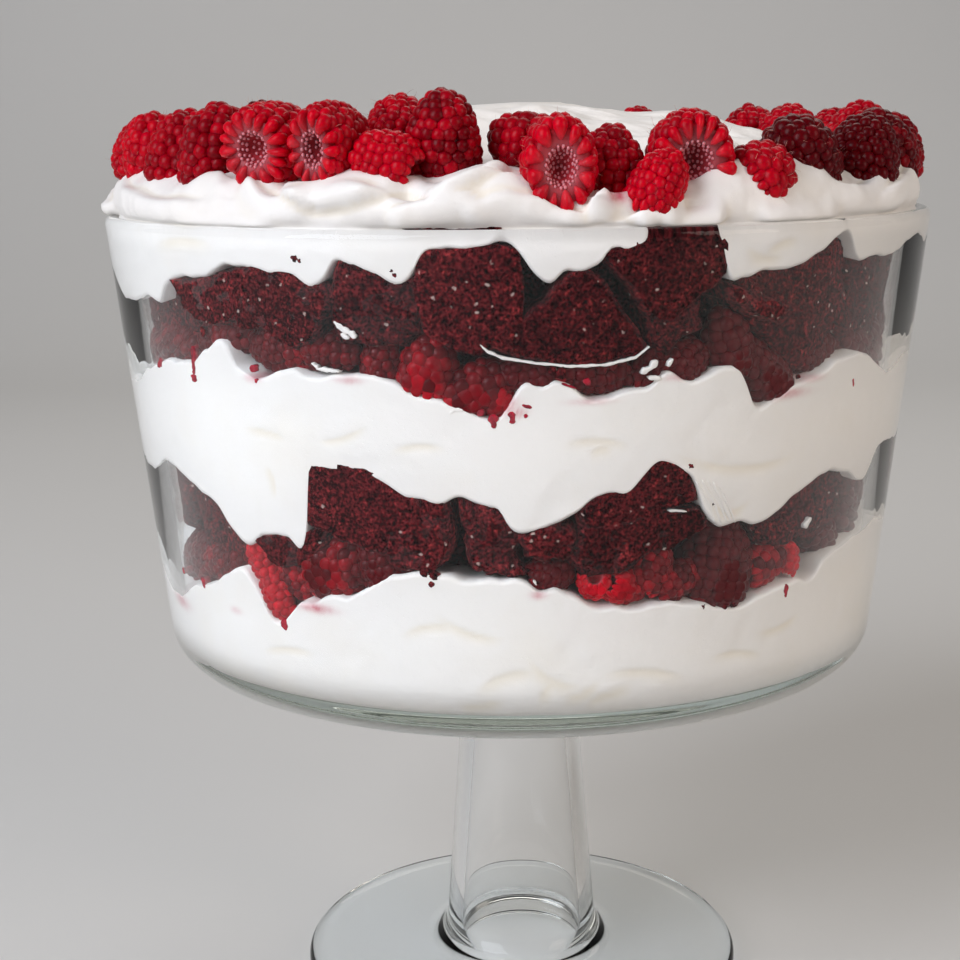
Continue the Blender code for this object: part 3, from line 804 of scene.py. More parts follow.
LOWER_SLABS = [Slab(*row) for row in (
    (2.5, 0, 0, 0.7, 0.5, ((-76, 152), (-66, 151.5), (-60, 153.5), (-58, 145), (-62, 134), (-75, 131))),
    (2.0, 0, 0, 0.7, 0.6, ((-57, 154), (-49, 151.5), (-44.5, 147), (-41.5, 141.5), (-40.5, 135),
     (-46, 133), (-53.5, 131), (-55, 141))),
    (-0.3, 0, 0, 0.9, 0.6, ((-39.6, 139.6), (-35.7, 142), (-31, 143), (-25.5, 145.6), (-28, 138),
     (-30.5, 134.5), (-34, 132.6), (-37, 134.5))),
    (-1.0, 0, 0, 0.3, 0.8, ((-29.3, 158.5), (-27, 159.6), (-23.8, 160.5), (-17.8, 158.5), (-15.6, 154),
     (-16.2, 145), (-18, 139.5), (-21.8, 141), (-27.4, 143.8), (-29.4, 144.6))),
    (-0.3, 0.02, 0, 0.8, 0.9, ((-17.6, 157.5), (-13, 154.5), (-9, 153.5), (-8.4, 145), (-9.2, 138),
     (-13, 135), (-18, 136.5), (-17.4, 146))),
    (0.0, 0, 0, 1.3, 0.8, ((-8, 154), (-4.8, 154), (-1.6, 152.5), (0.8, 146), (0, 140), (1.4, 135),
     (-3.6, 134), (-6, 136), (-7.1, 140), (-6.4, 144), (-8.2, 148))),
    (-0.5, 0, 0, 1.2, 0.75, ((0, 144.5), (1.8, 147), (4.7, 148), (7, 147), (8.2, 144.2), (7.9, 141),
     (6.2, 139), (3.6, 137.8), (1, 139.6))),
    (-0.7, 0, 0.02, 0.6, 0.55, ((7.4, 150), (9.7, 153.4), (14, 155), (16.2, 158), (18, 161.5), (22, 159.5),
     (23.6, 155), (24, 150.5), (19.5, 148.8), (15, 146.4), (9, 145.6))),
    (-0.4, 0, -0.06, 0.7, 0.35, ((7.6, 146.4), (13, 147), (18, 149), (24.6, 149), (25.6, 144),
     (23.4, 142.4), (21, 139.6), (18, 140), (15, 135.6), (9, 134.4), (6.8, 138), (7.6, 142))),
    (-0.9, 0, 0, 0.6, 0.95, ((12.6, 136), (14.8, 137.4), (17.6, 144.6), (21.4, 148.2), (20.4, 149.2),
     (16, 146), (13.6, 141))),
    (0.8, 0, 0, 0.7, 0.55, ((34.4, 145), (36.8, 148.4), (42, 152), (46, 153), (50.4, 145), (52, 138.6),
     (46.7, 134), (44, 136.6), (37, 136.6), (34.6, 140.6))),
    (2.4, 0, 0, 0.7, 0.4, ((45.4, 153.5), (52, 153), (59, 149.5), (61, 139), (53, 136.5), (50, 142))),
    (2.5, 0, 0, 0.7, 0.5, ((60, 155), (66, 156), (78, 153), (78, 139), (62, 139))),
)]


def box_lattice(count):
    """Points and faces of a cube from -1 to 1 with that many squares along each edge."""
    shape = bmesh.new()
    bmesh.ops.create_cube(shape, size=2)
    bmesh.ops.subdivide_edges(shape, edges=shape.edges[:], cuts=count - 1, use_grid_fill=True)
    points = np.array([v.co[:] for v in shape.verts])
    faces = [[v.index for v in f.verts] for f in shape.faces]
    shape.free()
    return points, faces


def on_glass_frame(angle, up, deep):
    """The frame of something by the glass: X along it, Y inwards and Z up."""
    turn = math.radians(angle)
    radius = inside_wall(up) - deep
    place = Matrix.Translation((radius * math.sin(turn), -radius * math.cos(turn), up))
    return place @ Matrix.Rotation(turn, 4, "Z")


def kept_inside(points, press=0.2 * MM):
    """Anything that would stand out past the glass's inner face is pressed flat against it."""
    limit = inside_wall(points[:, 2]) + press
    reach = np.hypot(points[:, 0], points[:, 1])
    points[:, :2] *= np.minimum(1, limit / reach)[:, None]
    return points


def squeezed(points):
    """Soft fruit by the glass: the nearer a point would stand to it or past it, the more it is
    flattened."""
    start = inside_wall(points[:, 2]) - 0.5 * MM
    reach = np.hypot(points[:, 0], points[:, 1])
    over = np.maximum(reach - start, 0)
    room = 0.78 * MM
    points[:, :2] *= ((np.minimum(reach, start) + room * (1 - np.exp(-over / room))) / reach)[:, None]
    return points


def by_glass(across_mm, up_mm, deep_mm):
    """Points by the glass: mm along it from the front, mm above the table and mm inwards from its inner
    face."""
    turn = across_mm / GLASS_ARC
    height = up_mm * MM
    radius = inside_wall(height) - deep_mm * MM
    return np.stack([radius * np.sin(turn), -radius * np.cos(turn), height], axis=-1)


def add_slab(heap, slab, seed, step=1.2):
    """A torn piece of cake whose face follows a drawn outline, with worn edges, pores and sides that run
    inwards, and a painted highlight along its torn edge."""
    corners = np.array(slab.outline, float)
    corners[:, 0] = np.radians(corners[:, 0]) * GLASS_ARC
    following = np.roll(corners, -1, axis=0)
    if np.sum(corners[:, 0] * following[:, 1] - following[:, 0] * corners[:, 1]) > 0:
        corners = corners[::-1]
        following = np.roll(corners, -1, axis=0)
    legs = np.linalg.norm(following - corners, axis=1)
    reach = np.concatenate([[0], np.cumsum(legs)])
    along = np.linspace(0, reach[-1], round(reach[-1] / step), endpoint=False)
    closed = np.concatenate([corners, corners[:1]])
    outline = np.stack([np.interp(along, reach, closed[:, k]) for k in (0, 1)], axis=1)
    centre = corners.mean(axis=0)
    outward = outline - centre
    size = np.linalg.norm(outward, axis=1, keepdims=True)
    shift = Vector((seed * 3.1, seed * 1.7, seed * 2.3))
    tear = [noise.fractal(Vector((x, y, 0)) / 5.0 + shift, 1.0, 2.0, 4) for x, y in outline]
    outline = outline + outward / size * (np.array(tear) * (0.5 + 1.1 * slab.crumbly))[:, None]

    rings = max(5, round(size.mean() / step))
    places, depths = [], []
    for share in np.linspace(1 / rings, 1, rings):
        flat = centre + (outline - centre) * share
        from_edge = (1 - share) * size[:, 0]
        lack = np.clip(1 - from_edge / (1.1 + slab.crumbly), 0, 1)
        worn = (0.9 + 1.6 * slab.crumbly) * (1 - np.sqrt(1 - lack**2 * 0.99))
        places.append(flat)
        depths.append(worn)
    for inwards, share in ((1.5, 1.01), (3.2, 1.0), (5.5, 0.98), (8.5, 0.95), (12.5, 0.9), (15.0, 0.6)):
        places.append(centre + (outline - centre) * share)
        depths.append(inwards + depths[rings - 1])
    places, depths = np.array(places), np.array(depths)
    spot = [Vector(p) for p in zip(places[..., 0].flat, places[..., 1].flat, depths.flat)]
    rough = np.array([noise.fractal(p / 6.5 + shift, 1.0, 2.0, 4) for p in spot]).reshape(depths.shape)
    pores = np.array([noise.voronoi(p / 3.0 + shift)[0][0] for p in spot]).reshape(depths.shape)
    pit = np.clip(1 - pores / 0.40, 0, 1)
    face = np.arange(len(depths))[:, None] < rings
    lean = (places[..., 0] - centre[0]) * slab.lean + (places[..., 1] - centre[1]) * slab.tilt
    depths = depths + slab.gap + lean + face * (pit * (0.4 + 0.8 * slab.crumbly) - rough * 0.9 * slab.crumbly)
    sideways = np.where(face, 0.0, rough * 1.2 * slab.crumbly)
    away = np.maximum(np.linalg.norm(places - centre, axis=2, keepdims=True), 1)
    places = places + (places - centre) / away * sideways[..., None]
    rows = by_glass(places[..., 0], places[..., 1], depths)
    ends = by_glass(*(np.array([c] * 2) for c in centre), np.array([slab.gap, slab.gap + 15.5]))
    points, faces = skin(rows, ends[0], ends[1])
    # Painted highlight: the slab is painted lighter within about 2 mm of its torn edge, where the crumbly rim
    # catches the light.
    edge = np.zeros(depths.shape)
    from_edge = (1 - np.linspace(1 / rings, 1, rings))[:, None] * size.mean()
    edge[:rings] = np.clip(1 - from_edge / 2.2, 0, 1) ** 2
    bright = slab.tone + 0.55 * edge * np.clip(0.5 + rough, 0, 1)
    heap.add(kept_inside(points), faces, pit=np.append(pit, (0, 0)), piece=np.append(bright, (slab.tone,) * 2))


# A cube of cake behind: angle, height and depth of its middle, its size in mm, its turns in degrees (roll
# in the plane of the glass, turn about the upright, tip towards the glass), and how torn it is.
Chunk = namedtuple("Chunk", "angle up deep wide tall thick roll turn tip crumbly")


def add_chunk(heap, chunk, lattice, seed):
    """A torn cube of cake: rounded corners, a lumpy skin and open pores."""
    points, faces = lattice
    half = np.array([chunk.wide, chunk.thick, chunk.tall]) * MM / 2
    round_by = (1.2 + 2.2 * chunk.crumbly) * MM
    surface = points * half
    inner = np.clip(surface, -(half - round_by), half - round_by)
    out = surface - inner
    out = out / np.linalg.norm(out, axis=1, keepdims=True)
    surface = inner + out * round_by
    shift = Vector((seed * 3.1, seed * 1.7, seed * 2.3))
    wide = np.array([noise.fractal(Vector(p) / (8 * MM) + shift, 1.0, 2.0, 3) for p in surface])
    pores = np.array([noise.voronoi(Vector(p) / (3.2 * MM) + shift)[0][0] for p in surface])
    pit = np.clip(1 - pores / 0.42, 0, 1)
    surface = surface + out * ((wide * 1.6 * chunk.crumbly - pit * (0.5 + 0.9 * chunk.crumbly)) * MM)[:, None]
    turn = (
        Matrix.Rotation(math.radians(chunk.roll), 4, "Y")
        @ Matrix.Rotation(math.radians(chunk.turn), 4, "Z")
        @ Matrix.Rotation(math.radians(chunk.tip), 4, "X")
    )
    place = on_glass_frame(chunk.angle, chunk.up * MM, chunk.deep * MM) @ turn
    heap.add(kept_inside(moved(surface, place)), faces, pit=pit, piece=0.35 + 0.5 * ((seed * 0.618) % 1))


CORE_DEPTH = 15 * MM  # from the glass to the dark core


def add_core(heap, low, high, seed):
    """The mass of cake behind the pieces that show, painted dark as the shade in the gaps between them."""
    angles = np.arange(0, 360, 4.0)
    rows = []
    for height in np.linspace(low, high, 7):
        radius = inside_wall(height) - CORE_DEPTH
        row = ring(radius, angles, height)
        row[:, :2] *= (1 + 0.02 * lumps(row, 9 * MM, seed))[:, None]
        rows.append(row)
    points, faces = skin(np.array(rows), (0, 0, low), (0, 0, high))
    # Painted shade: the core is mixed half way to the pore colour and given a low tone, so it reads as the
    # shade between the pieces.
    heap.add(points, faces, pit=0.5, piece=0.3)


def red_velvet():
    """Red velvet cake, baked and cut in cubes: a dark cocoa-red crumb, matt and open, with pores painted black
    as shade, light flecks that are painted highlight and paler loose crumbs, and a few specks of sugar."""
    settings = bpy.context.scene.trifle_cake
    material, add = new_material("red_velvet_crumb")
    place = add("TexCoord").outputs["Object"]
    pit = add("Attribute", attribute_name="pit").outputs["Fac"]
    piece = add("Attribute", attribute_name="piece").outputs["Fac"]
    grain = add("TexNoise", {"Vector": place, "Scale": 1 / (1.5 * MM), "Detail": 4.0, "Roughness": 0.7})
    patches = add("TexNoise", {"Vector": place, "Scale": 1 / (7 * MM), "Detail": 3.0})
    swing = add("MapRange", {"Value": patches, "To Min": -0.12, "To Max": 0.12})
    mixed = add("Math", {0: grain, 1: swing}, operation="ADD")
    # The grain's darkest flecks take the pore's painted shade, and its lightest the lit crumb colour: painted
    # highlight mixed with paler loose crumbs.
    shades = ((0.36, settings.pore), (0.47, settings.crumb), (0.56, settings.crumb), (0.66, settings.lit))
    crumb = add("ValToRGB", {"Fac": mixed}, shades)
    holes = add("TexVoronoi", {"Vector": place, "Scale": 1 / settings.pore_size})
    hole = add("MapRange", {"Value": holes, "From Min": 0.14, "From Max": 0.34, "To Min": 1.0, "To Max": 0.0})
    torn = add("MapRange", {"Value": patches, "From Min": 0.42, "From Max": 0.62})
    pores = add("Math", {0: hole, 1: torn}, operation="MULTIPLY")
    # Painted shade: the pits and the textured holes are painted the pore colour, for the shade inside them.
    pore_shade_mask = add("Math", {0: pit, 1: pores}, operation="MAXIMUM")
    dark = add("MixRGB", {"Fac": pore_shade_mask, "Color1": crumb, "Color2": settings.pore})
    # Each piece's tone; on slabs it holds a painted highlight at the torn edge, and on the core a painted
    # shade.
    shade = add("MapRange", {"Value": piece, "To Min": 0.55, "To Max": 1.45, "From Max": 1.45})
    fine = add("TexNoise", {"Vector": place, "Scale": 1 / (0.7 * MM), "Detail": 1.0})
    gritty = add("MapRange", {"Value": fine, "From Min": 0.38, "From Max": 0.62, "To Min": 0.3, "To Max": 1.75})
    both = add("Math", {0: shade, 1: gritty}, operation="MULTIPLY")
    toned = add("VectorMath", {0: dark, 1: both}, operation="MULTIPLY")
    ragged = add("VectorMath", {0: fine.outputs["Color"], 1: (0.9 * MM,) * 3}, operation="MULTIPLY")
    shaken = add("VectorMath", {0: place, 1: ragged}, operation="ADD")
    sugar = add("TexVoronoi", {"Vector": shaken, "Scale": 1 / (3.6 * MM)})
    speck = add("MapRange", {"Value": sugar, "From Min": 0.06, "From Max": 0.13, "To Min": 0.7, "To Max": 0.0})
    colour = add("MixRGB", {"Fac": speck, "Color1": toned, "Color2": linear("#D9C3B8")})
    height = add("Math", {0: grain, 1: pores}, operation="SUBTRACT")
    relief = add("Bump", {"Height": height, "Distance": 1.0 * MM, "Strength": 0.9})
    matt = {"Roughness": 0.9, "Specular IOR Level": 0.08}
    body = add("BsdfPrincipled", {"Base Color": colour, **matt, "Normal": relief})
    add("OutputMaterial", {"Surface": body})
    return material


def edge_at(edges, name, angles, angle):
    """The height of one edge at one angle."""
    return float(np.interp(angle % 360, np.sort(angles % 360), edges[name][np.argsort(angles % 360)]))


class TRIFLE_OT_cake(bpy.types.Operator):
    """Fills the two bands of red velvet cake"""

    bl_idname = "trifle.cake"
    bl_label = "Red Velvet Cake"

    def execute(self, context):
        angles = column_angles()
        edges = layer_edges(angles)
        crumb = red_velvet()
        coarse = box_lattice(10)
        for name, node, slabs, low_edge, high_edge in (
            ("cake_pieces_lower", "cake_lower", LOWER_SLABS, "bottom_top", "middle_under"),
            ("cake_pieces_upper", "cake_upper", UPPER_SLABS, "middle_top", "top_under"),
        ):
            heap = Heap("pit", "piece")
            draw = random.Random(name)
            for k, slab in enumerate(slabs):
                add_slab(heap, slab, k + 1)
            angle = 84.0
            k = 40
            while angle < 276:
                low = edge_at(edges, low_edge, angles, angle) / MM
                high = edge_at(edges, high_edge, angles, angle) / MM
                size = draw.uniform(17, 23)
                tall = min(size, (high - low) * 0.75)
                add_chunk(
                    heap,
                    Chunk(
                        angle, high - tall / 2 + 2, draw.uniform(8, 11), size, tall, 18,
                        draw.uniform(-25, 25), draw.uniform(-15, 15), draw.uniform(-8, 8),
                        draw.uniform(0.5, 1),
                    ),
                    coarse,
                    k,
                )
                angle += math.degrees(size * 0.82 / CREAM_ARC)
                k += 1
            low = edges[low_edge].mean() - 6 * MM
            high = edges[high_edge].mean() + 2 * MM
            add_core(heap, low, high, 8.0)
            piece = heap.build(name, crumb)
            belongs(piece, "red_velvet_cake", node)
        return {"FINISHED"}


# The raspberries


class BerrySettings(bpy.types.PropertyGroup):
    """The raspberries"""

    ripe: colour_setting("Ripe", "Colour of the darkest drupelets", "#78000F")
    bright: colour_setting("Bright", "Colour of the brightest drupelets", "#D0001E")
    inner: colour_setting("Inner", "Colour of the hollow's lining", "#E08890")
    drupelet: length_setting("Drupelet", "Across one drupelet", 3.6)
    petals: bpy.props.IntProperty(name="Petals", description="Drupelets round the hollow", default=13, min=8)


HOLLOW = 0.42  # the mouth's share of the berry's radius
HOLLOW_DEPTH = 0.45  # and the hollow's share of its length


def berry_width(share):
    """The berry's radius at a share of its length, as a share of its largest radius."""
    if share < 0.32:
        return 0.86 + 0.14 * math.sin(math.pi / 2 * share / 0.32)
    return math.sqrt(max(0.0, 1 - ((share - 0.32) / 0.68) ** 2.3))


def meridian(length, radius):
    """Points down the berry's side from base to tip as (radius, height), and how far along it each is."""
    samples = [(radius * berry_width(k / 200), length * k / 200) for k in range(201)]
    reach = [0.0]
    for (r0, z0), (r1, z1) in zip(samples, samples[1:]):
        reach.append(reach[-1] + math.hypot(r1 - r0, z1 - z0))
    return samples, reach


def add_berry(heap, draw, place, length, width, shapes, opened=False, hairs=0, press=False, tone=0.0):
    """One raspberry, its hollow at the frame's origin and its tip up Z: a core, rings of drupelets round it,
    long ones round the mouth and fine hairs between."""
    settings = bpy.context.scene.trifle_berry
    bead, bead_faces = shapes["bead"]
    petal, petal_faces = shapes["petal"]
    dot, dot_faces = shapes["dot"]
    radius = width / 2
    size = settings.drupelet * (0.9 + 0.2 * draw.random()) * min(1, 0.45 + width / (26 * MM))
    whole = tone + draw.uniform(-0.12, 0.12)
    sink = 0.78 if press else 0.66
    bend = draw.uniform(-0.05, 0.05)

    def put(points, faces, slot=0, **values):
        shifted = points.copy()
        shifted[:, 0] += bend * points[:, 2] * points[:, 2] / length
        world = moved(shifted, place)
        heap.add(squeezed(world) if press else world, faces, slot, **values)

    middle = place @ Vector((0, 0, length / 2))
    unseen = math.hypot(middle.x, middle.y)

    samples, reach = meridian(length, radius)
    total = reach[-1]
    turns = 20
    around = np.radians(np.arange(turns) * 360 / turns)
    core = []
    for share in (0.03, 0.15, 0.32, 0.5, 0.68, 0.82, 0.92):
        r = max(radius * berry_width(share) - 1.0 * MM, 0.4 * MM)
        core.append(np.stack([r * np.cos(around), r * np.sin(around), 0 * around + length * share], axis=-1))
    mouth = radius * HOLLOW
    lining = []
    for share, depth in ((1.05, 0.05), (0.95, 0.09), (0.8, 0.16), (0.6, 0.24), (0.32, 0.30)):
        r = mouth * share
        lining.append(np.stack([r * np.cos(around), r * np.sin(around), 0 * around + length * depth], axis=-1))
    rows = np.array(lining[::-1] + core)
    points, faces = skin(rows, (0, 0, length * 0.33), (0, 0, length * 0.96))
    inside = np.concatenate([np.repeat([0.1, 0.1, 0.12, 0.2, 0.3] + [0.0] * len(core), turns), [0.1, 0.0]])
    # Painted shade: the core has a lower tone than the drupelets, so it shows darker in the gaps between them.
    put(points, faces, tone=0.15 + whole, inside=inside)

    rings = max(4, round(total / (size * 0.72)))
    spin = draw.random()
    for k in range(1, rings + 1):
        at = total * (k + 0.1) / (rings + 0.25)
        i = min(range(201), key=lambda n: abs(reach[n] - at))
        r, z = samples[i]
        r1, z1 = samples[min(i + 2, 200)]
        r0, z0 = samples[max(i - 2, 0)]
        slope = math.atan2(r0 - r1, z1 - z0)
        count = max(1, round(math.tau * (r - 0.4 * MM) / (size * 0.80)))
        spin += 0.5 / count
        for n in range(count):
            turn = math.tau * ((n + draw.uniform(-0.16, 0.16)) / count + spin)
            scale = size / 2 * draw.uniform(0.94, 1.12)
            stretch = Matrix.Diagonal((scale * 1.02, scale * draw.uniform(0.95, 1.1), scale * 0.98, 1))
            sit = r - scale * sink * math.cos(slope)
            stand = z - scale * sink * math.sin(slope) + size * draw.uniform(-0.12, 0.12)
            lean = Matrix.Rotation(math.pi / 2 - slope, 4, "Y")
            at_side = Matrix.Rotation(turn, 4, "Z") @ Matrix.Translation((sit, 0, stand)) @ lean @ stretch
            bright = 0.5 + whole + draw.uniform(-0.22, 0.22)
            spot = place @ at_side.translation
            if press and math.hypot(spot.x, spot.y) < unseen:
                continue  # it is on the side that faces the middle, where nothing shows
            put(moved(bead, at_side), bead_faces, tone=bright, inside=0.0)

    spans = [draw.uniform(0.75, 1.3) for _ in range(settings.petals + draw.randint(-1, 2))]
    turn = draw.uniform(0, 1)
    for span in spans:
        share = math.tau * span / sum(spans)
        turn += share
        inner = mouth * draw.uniform(0.95, 1.15)
        outer = radius * draw.uniform(0.93, 1.04) * (1.0 if opened else 0.88)
        long = (outer - inner) / 2
        wide = share * radius * (0.44 if opened else 0.5)
        stretch = Matrix.Diagonal((long, wide, 2.0 * MM * draw.uniform(0.8, 1.25), 1))
        dip = Matrix.Rotation(draw.uniform(-0.1, 0.3), 4, "Y")
        seat = Matrix.Translation(((outer + inner) / 2, 0, 1.5 * MM))
        laid = Matrix.Rotation(turn - share / 2, 4, "Z") @ seat @ dip @ stretch
        tapered = petal.copy()
        tapered[:, 1] *= 0.55 + 0.45 * np.clip(petal[:, 0] + 0.4, 0, 1)
        near_mouth = np.clip(0.2 - petal[:, 0] * 0.6, 0, 1) * 0.22
        bright = 0.75 + whole + draw.uniform(-0.25, 0.25)
        put(moved(tapered, laid), petal_faces, tone=bright, inside=near_mouth)

    if opened:
        dots = ((1.0, 0.06), (0.9, 0.11), (0.8, 0.16), (0.6, 0.24), (0.4, 0.28), (0.16, 0.31))
        for ring_share, depth in dots:
            r = mouth * ring_share
            count = max(3, round(math.tau * r / (1.25 * MM)))
            for n in range(count):
                turn = math.tau * (n + draw.random() * 0.4 + ring_share * 3) / count
                scale = 0.42 * MM * draw.uniform(0.8, 1.15)
                spot = Matrix.Rotation(turn, 4, "Z") @ Matrix.Translation((r, 0, length * depth - 0.1 * MM))
                put(moved(dot, spot @ Matrix.Scale(scale, 4)), dot_faces, tone=0.9, inside=1.0)

    for _ in range(hairs):
        share = draw.uniform(0.08, 0.95)
        turn = draw.random() * math.tau
        r, z = radius * berry_width(share) - 0.3 * MM, length * share
        long = draw.uniform(1.2, 2.4) * MM
        curl = draw.uniform(-1, 1)
        strip = []
        for j in range(4):
            t = j / 3
            wide = 0.05 * MM * (1 - 0.7 * t)
            out = r + long * t
            side = curl * long * 0.5 * t * t
            strip += [(out, side - wide, z + 0.2 * long * t), (out, side + wide, z + 0.2 * long * t)]
        faces = [(2 * j, 2 * j + 1, 2 * j + 3, 2 * j + 2) for j in range(3)]
        put(moved(np.array(strip), Matrix.Rotation(turn, 4, "Z")), faces, slot=1, tone=0.5, inside=0.0)


def berry_shapes():
    """A drupelet, one of the long ones round the mouth, and a dot of the hollow's lining."""
    return {"bead": cap_of(*ball(2), -0.30), "petal": ball(2), "dot": ball(1)}


def raspberry_skin(glow=0.4):
    """Ripe raspberry: taut, juicy skin that glows deep crimson where light gets into it, with a wet
    sheen."""
    settings = bpy.context.scene.trifle_berry
    material, add = new_material("raspberry_skin")
    place = add("TexCoord").outputs["Object"]
    tone = add("Attribute", attribute_name="tone").outputs["Fac"]
    inside = add("Attribute", attribute_name="inside").outputs["Fac"]
    flesh = add("MixRGB", {"Fac": tone, "Color1": settings.ripe, "Color2": settings.bright})
    mottle = add("TexNoise", {"Vector": place, "Scale": 1 / (1.2 * MM), "Detail": 3.0})
    dulling = {"From Min": 0.35, "From Max": 0.7, "To Min": 0.75, "To Max": 1.1}
    dulled = add("MapRange", {"Value": mottle, **dulling})
    ripeness = add("MapRange", {"Value": tone, "From Max": 0.4, "To Min": 0.5, "To Max": 1.0})
    shaded = add("Math", {0: dulled, 1: ripeness}, operation="MULTIPLY")
    toned = add("VectorMath", {0: flesh, 1: shaded}, operation="MULTIPLY")
    colour = add("MixRGB", {"Fac": inside, "Color1": toned, "Color2": settings.inner})
    relief = add("Bump", {"Height": mottle, "Distance": 0.12 * MM, "Strength": 0.5})
    wet = {"Roughness": 0.3, "IOR": 1.4, "Specular IOR Level": 0.16}
    lit = {
        "Subsurface Weight": glow, "Subsurface Radius": (1.0, 0.06, 0.06), "Subsurface Scale": 2.2 * MM
    }
    body = add("BsdfPrincipled", {"Base Color": colour, **wet, **lit, "Normal": relief})
    add("OutputMaterial", {"Surface": body})
    return material


def berry_hair():
    """The fine hairs a raspberry keeps: pale, dry and thin."""
    material, add = new_material("raspberry_hair")
    place = add("TexCoord").outputs["Object"]
    tone = add("TexNoise", {"Vector": place, "Scale": 1 / (3 * MM)})
    colour = add("ValToRGB", {"Fac": tone}, ((0.3, linear("#8C3B33")), (0.7, linear("#D9A58E"))))
    body = add("BsdfPrincipled", {"Base Color": colour, "Roughness": 0.6})
    add("OutputMaterial", {"Surface": body})
    return material


# A berry in the bands: angle, height and depth of its middle, length and width in mm, which way its tip
# points (roll in the plane of the glass from upright, and tip away from the glass), and how bright it is.
BandBerry = namedtuple("BandBerry", "angle up deep length width roll tip tone")
UPPER_BERRIES = [BandBerry(*row) for row in (
    (-67, 178, 8, 17, 15, 70, 0, -0.1), (-54.5, 181.3, 6.6, 21, 12.5, 84, 0, 0.0),
    (-41.6, 185.2, 6.0, 17.5, 11, 82, 0, -0.1), (-46.6, 180.6, 3.0, 8, 5, 10, 0, -0.1),
    (-33.3, 183.6, 6.2, 16.5, 12, -85, 0, -0.15), (-24.4, 183.3, 5.6, 15, 9.5, 95, 0, -0.1),
    (-17.6, 183.0, 5.2, 11, 9, 10, 0, 0.05), (-11.2, 181.6, 6.0, 14.5, 13, 12, -10, 0.3),
    (-4.6, 176.3, 5.6, 16, 12.5, 62, 0, 0.1), (-2.2, 173.2, 3.4, 9, 7.5, 160, 0, 0.2),
    (1.4, 179.3, 5.0, 14, 9, -78, 0, -0.1), (10.0, 179.3, 5.4, 17.5, 9.5, 94, 0, -0.05),
    (17.2, 180.8, 5.4, 11, 8, 20, 0, -0.2), (22.4, 181.0, 5.8, 12.5, 10.5, 60, 0, -0.1),
    (28.6, 184.6, 6.0, 15, 12, -14, 0, -0.2), (33.4, 177.8, 5.4, 19, 12, -48, 0, -0.15),
    (45.0, 180.0, 6.6, 16, 9.5, 80, 0, -0.2), (54, 180, 8, 17, 13, -60, 0, -0.3),
    (63, 178.5, 8, 18, 14, 60, 0, -0.2), (73, 180, 8, 17, 14, -70, 0, -0.2),
)]
LOWER_BERRIES = [BandBerry(*row) for row in (
    (-68, 125, 8, 17, 14, 60, 0, -0.1), (-58, 129, 8, 16, 14, -60, 0, -0.1),
    (-47.6, 131.2, 6.2, 19, 12, 80, 0, -0.05), (-39.6, 132.4, 3.8, 12, 7.5, 152, 0, 0.75),
    (-37.4, 125.2, 3.6, 13, 8, 158, 0, 0.7), (-33.6, 130.0, 5.4, 11, 9, 140, 0, 0.1),
    (-25.8, 135.0, 6.8, 18, 16, 74, 0, 0.1), (-19.6, 138.0, 6.0, 15, 12.5, -20, 0, -0.2),
    (-27.6, 131.6, 3.6, 8.5, 7.5, 120, 0, 0.6), (4.7, 134.6, 4.8, 10.5, 8.5, 85, 0, -0.2),
    (10.5, 132.2, 3.8, 8.5, 7.5, 170, -50, 0.7), (15.2, 131.4, 4.4, 12, 8.5, 110, -30, 0.4),
    (19.0, 135.6, 5.2, 12.5, 10, 20, 0, 0.05), (23.4, 131.8, 5.0, 12, 9, 70, 0, 0.15),
    (30.6, 134.8, 8.6, 21, 18.5, 10, 0, -0.25), (39.8, 133.2, 5.6, 16, 10.5, 70, 0, 0.1),
    (42.4, 133.2, 3.0, 8, 6, 10, 0, 0.6), (51, 138, 8, 17, 13, -40, 0, -0.3),
    (60, 141, 8, 17, 14, 30, 0, -0.2), (71, 140, 8, 17, 14, -60, 0, -0.2),
)]


def add_band_berry(heap, draw, berry, shapes):
    """One raspberry pressed on the glass."""
    at = on_glass_frame(berry.angle, berry.up * MM, berry.deep * MM)
    roll = Matrix.Rotation(math.radians(berry.roll), 4, "Y")
    turn = roll @ Matrix.Rotation(math.radians(berry.tip), 4, "X")
    length = berry.length * MM
    spin = Matrix.Translation((0, 0, -length / 2)) @ Matrix.Rotation(draw.uniform(0, 6.28), 4, "Z")
    tone = berry.tone - 0.5
    add_berry(heap, draw, at @ turn @ spin, length, berry.width * MM, shapes, press=True, tone=tone)


class TRIFLE_OT_band_berries(bpy.types.Operator):
    """Fills the two bands of raspberries"""

    bl_idname = "trifle.band_berries"
    bl_label = "Raspberry Bands"

    def execute(self, context):
        angles = column_angles()
        edges = layer_edges(angles)
        skin_finish = raspberry_skin(0.0)  # no light comes through the berries behind the glass
        shapes = berry_shapes()
        for name, node, berries, low_edge in (
            ("berries_lower", "raspberries_lower", LOWER_BERRIES, "bottom_top"),
            ("berries_upper", "raspberries_upper", UPPER_BERRIES, "middle_top"),
        ):
            heap = Heap("tone", "inside")
            draw = random.Random(name)
            for berry in berries:
                add_band_berry(heap, draw, berry, shapes)
            angle = 82.0
            while angle < 279:
                low = edge_at(edges, low_edge, angles, angle) / MM
                size = draw.uniform(14, 18)
                add_band_berry(
                    heap,
                    draw,
                    BandBerry(
                        angle, low + draw.uniform(3, 7), draw.uniform(6.5, 8), size, size * 0.82,
                        draw.uniform(0, 360), draw.uniform(-20, 20), draw.uniform(-0.3, 0.1),
                    ),
                    shapes,
                )
                angle += math.degrees(size * 0.86 / CREAM_ARC)
            piece = heap.build(name, skin_finish)
            belongs(piece, "raspberry", node)
        return {"FINISHED"}


OPEN_BERRIES = (6, 7, 11, 14)
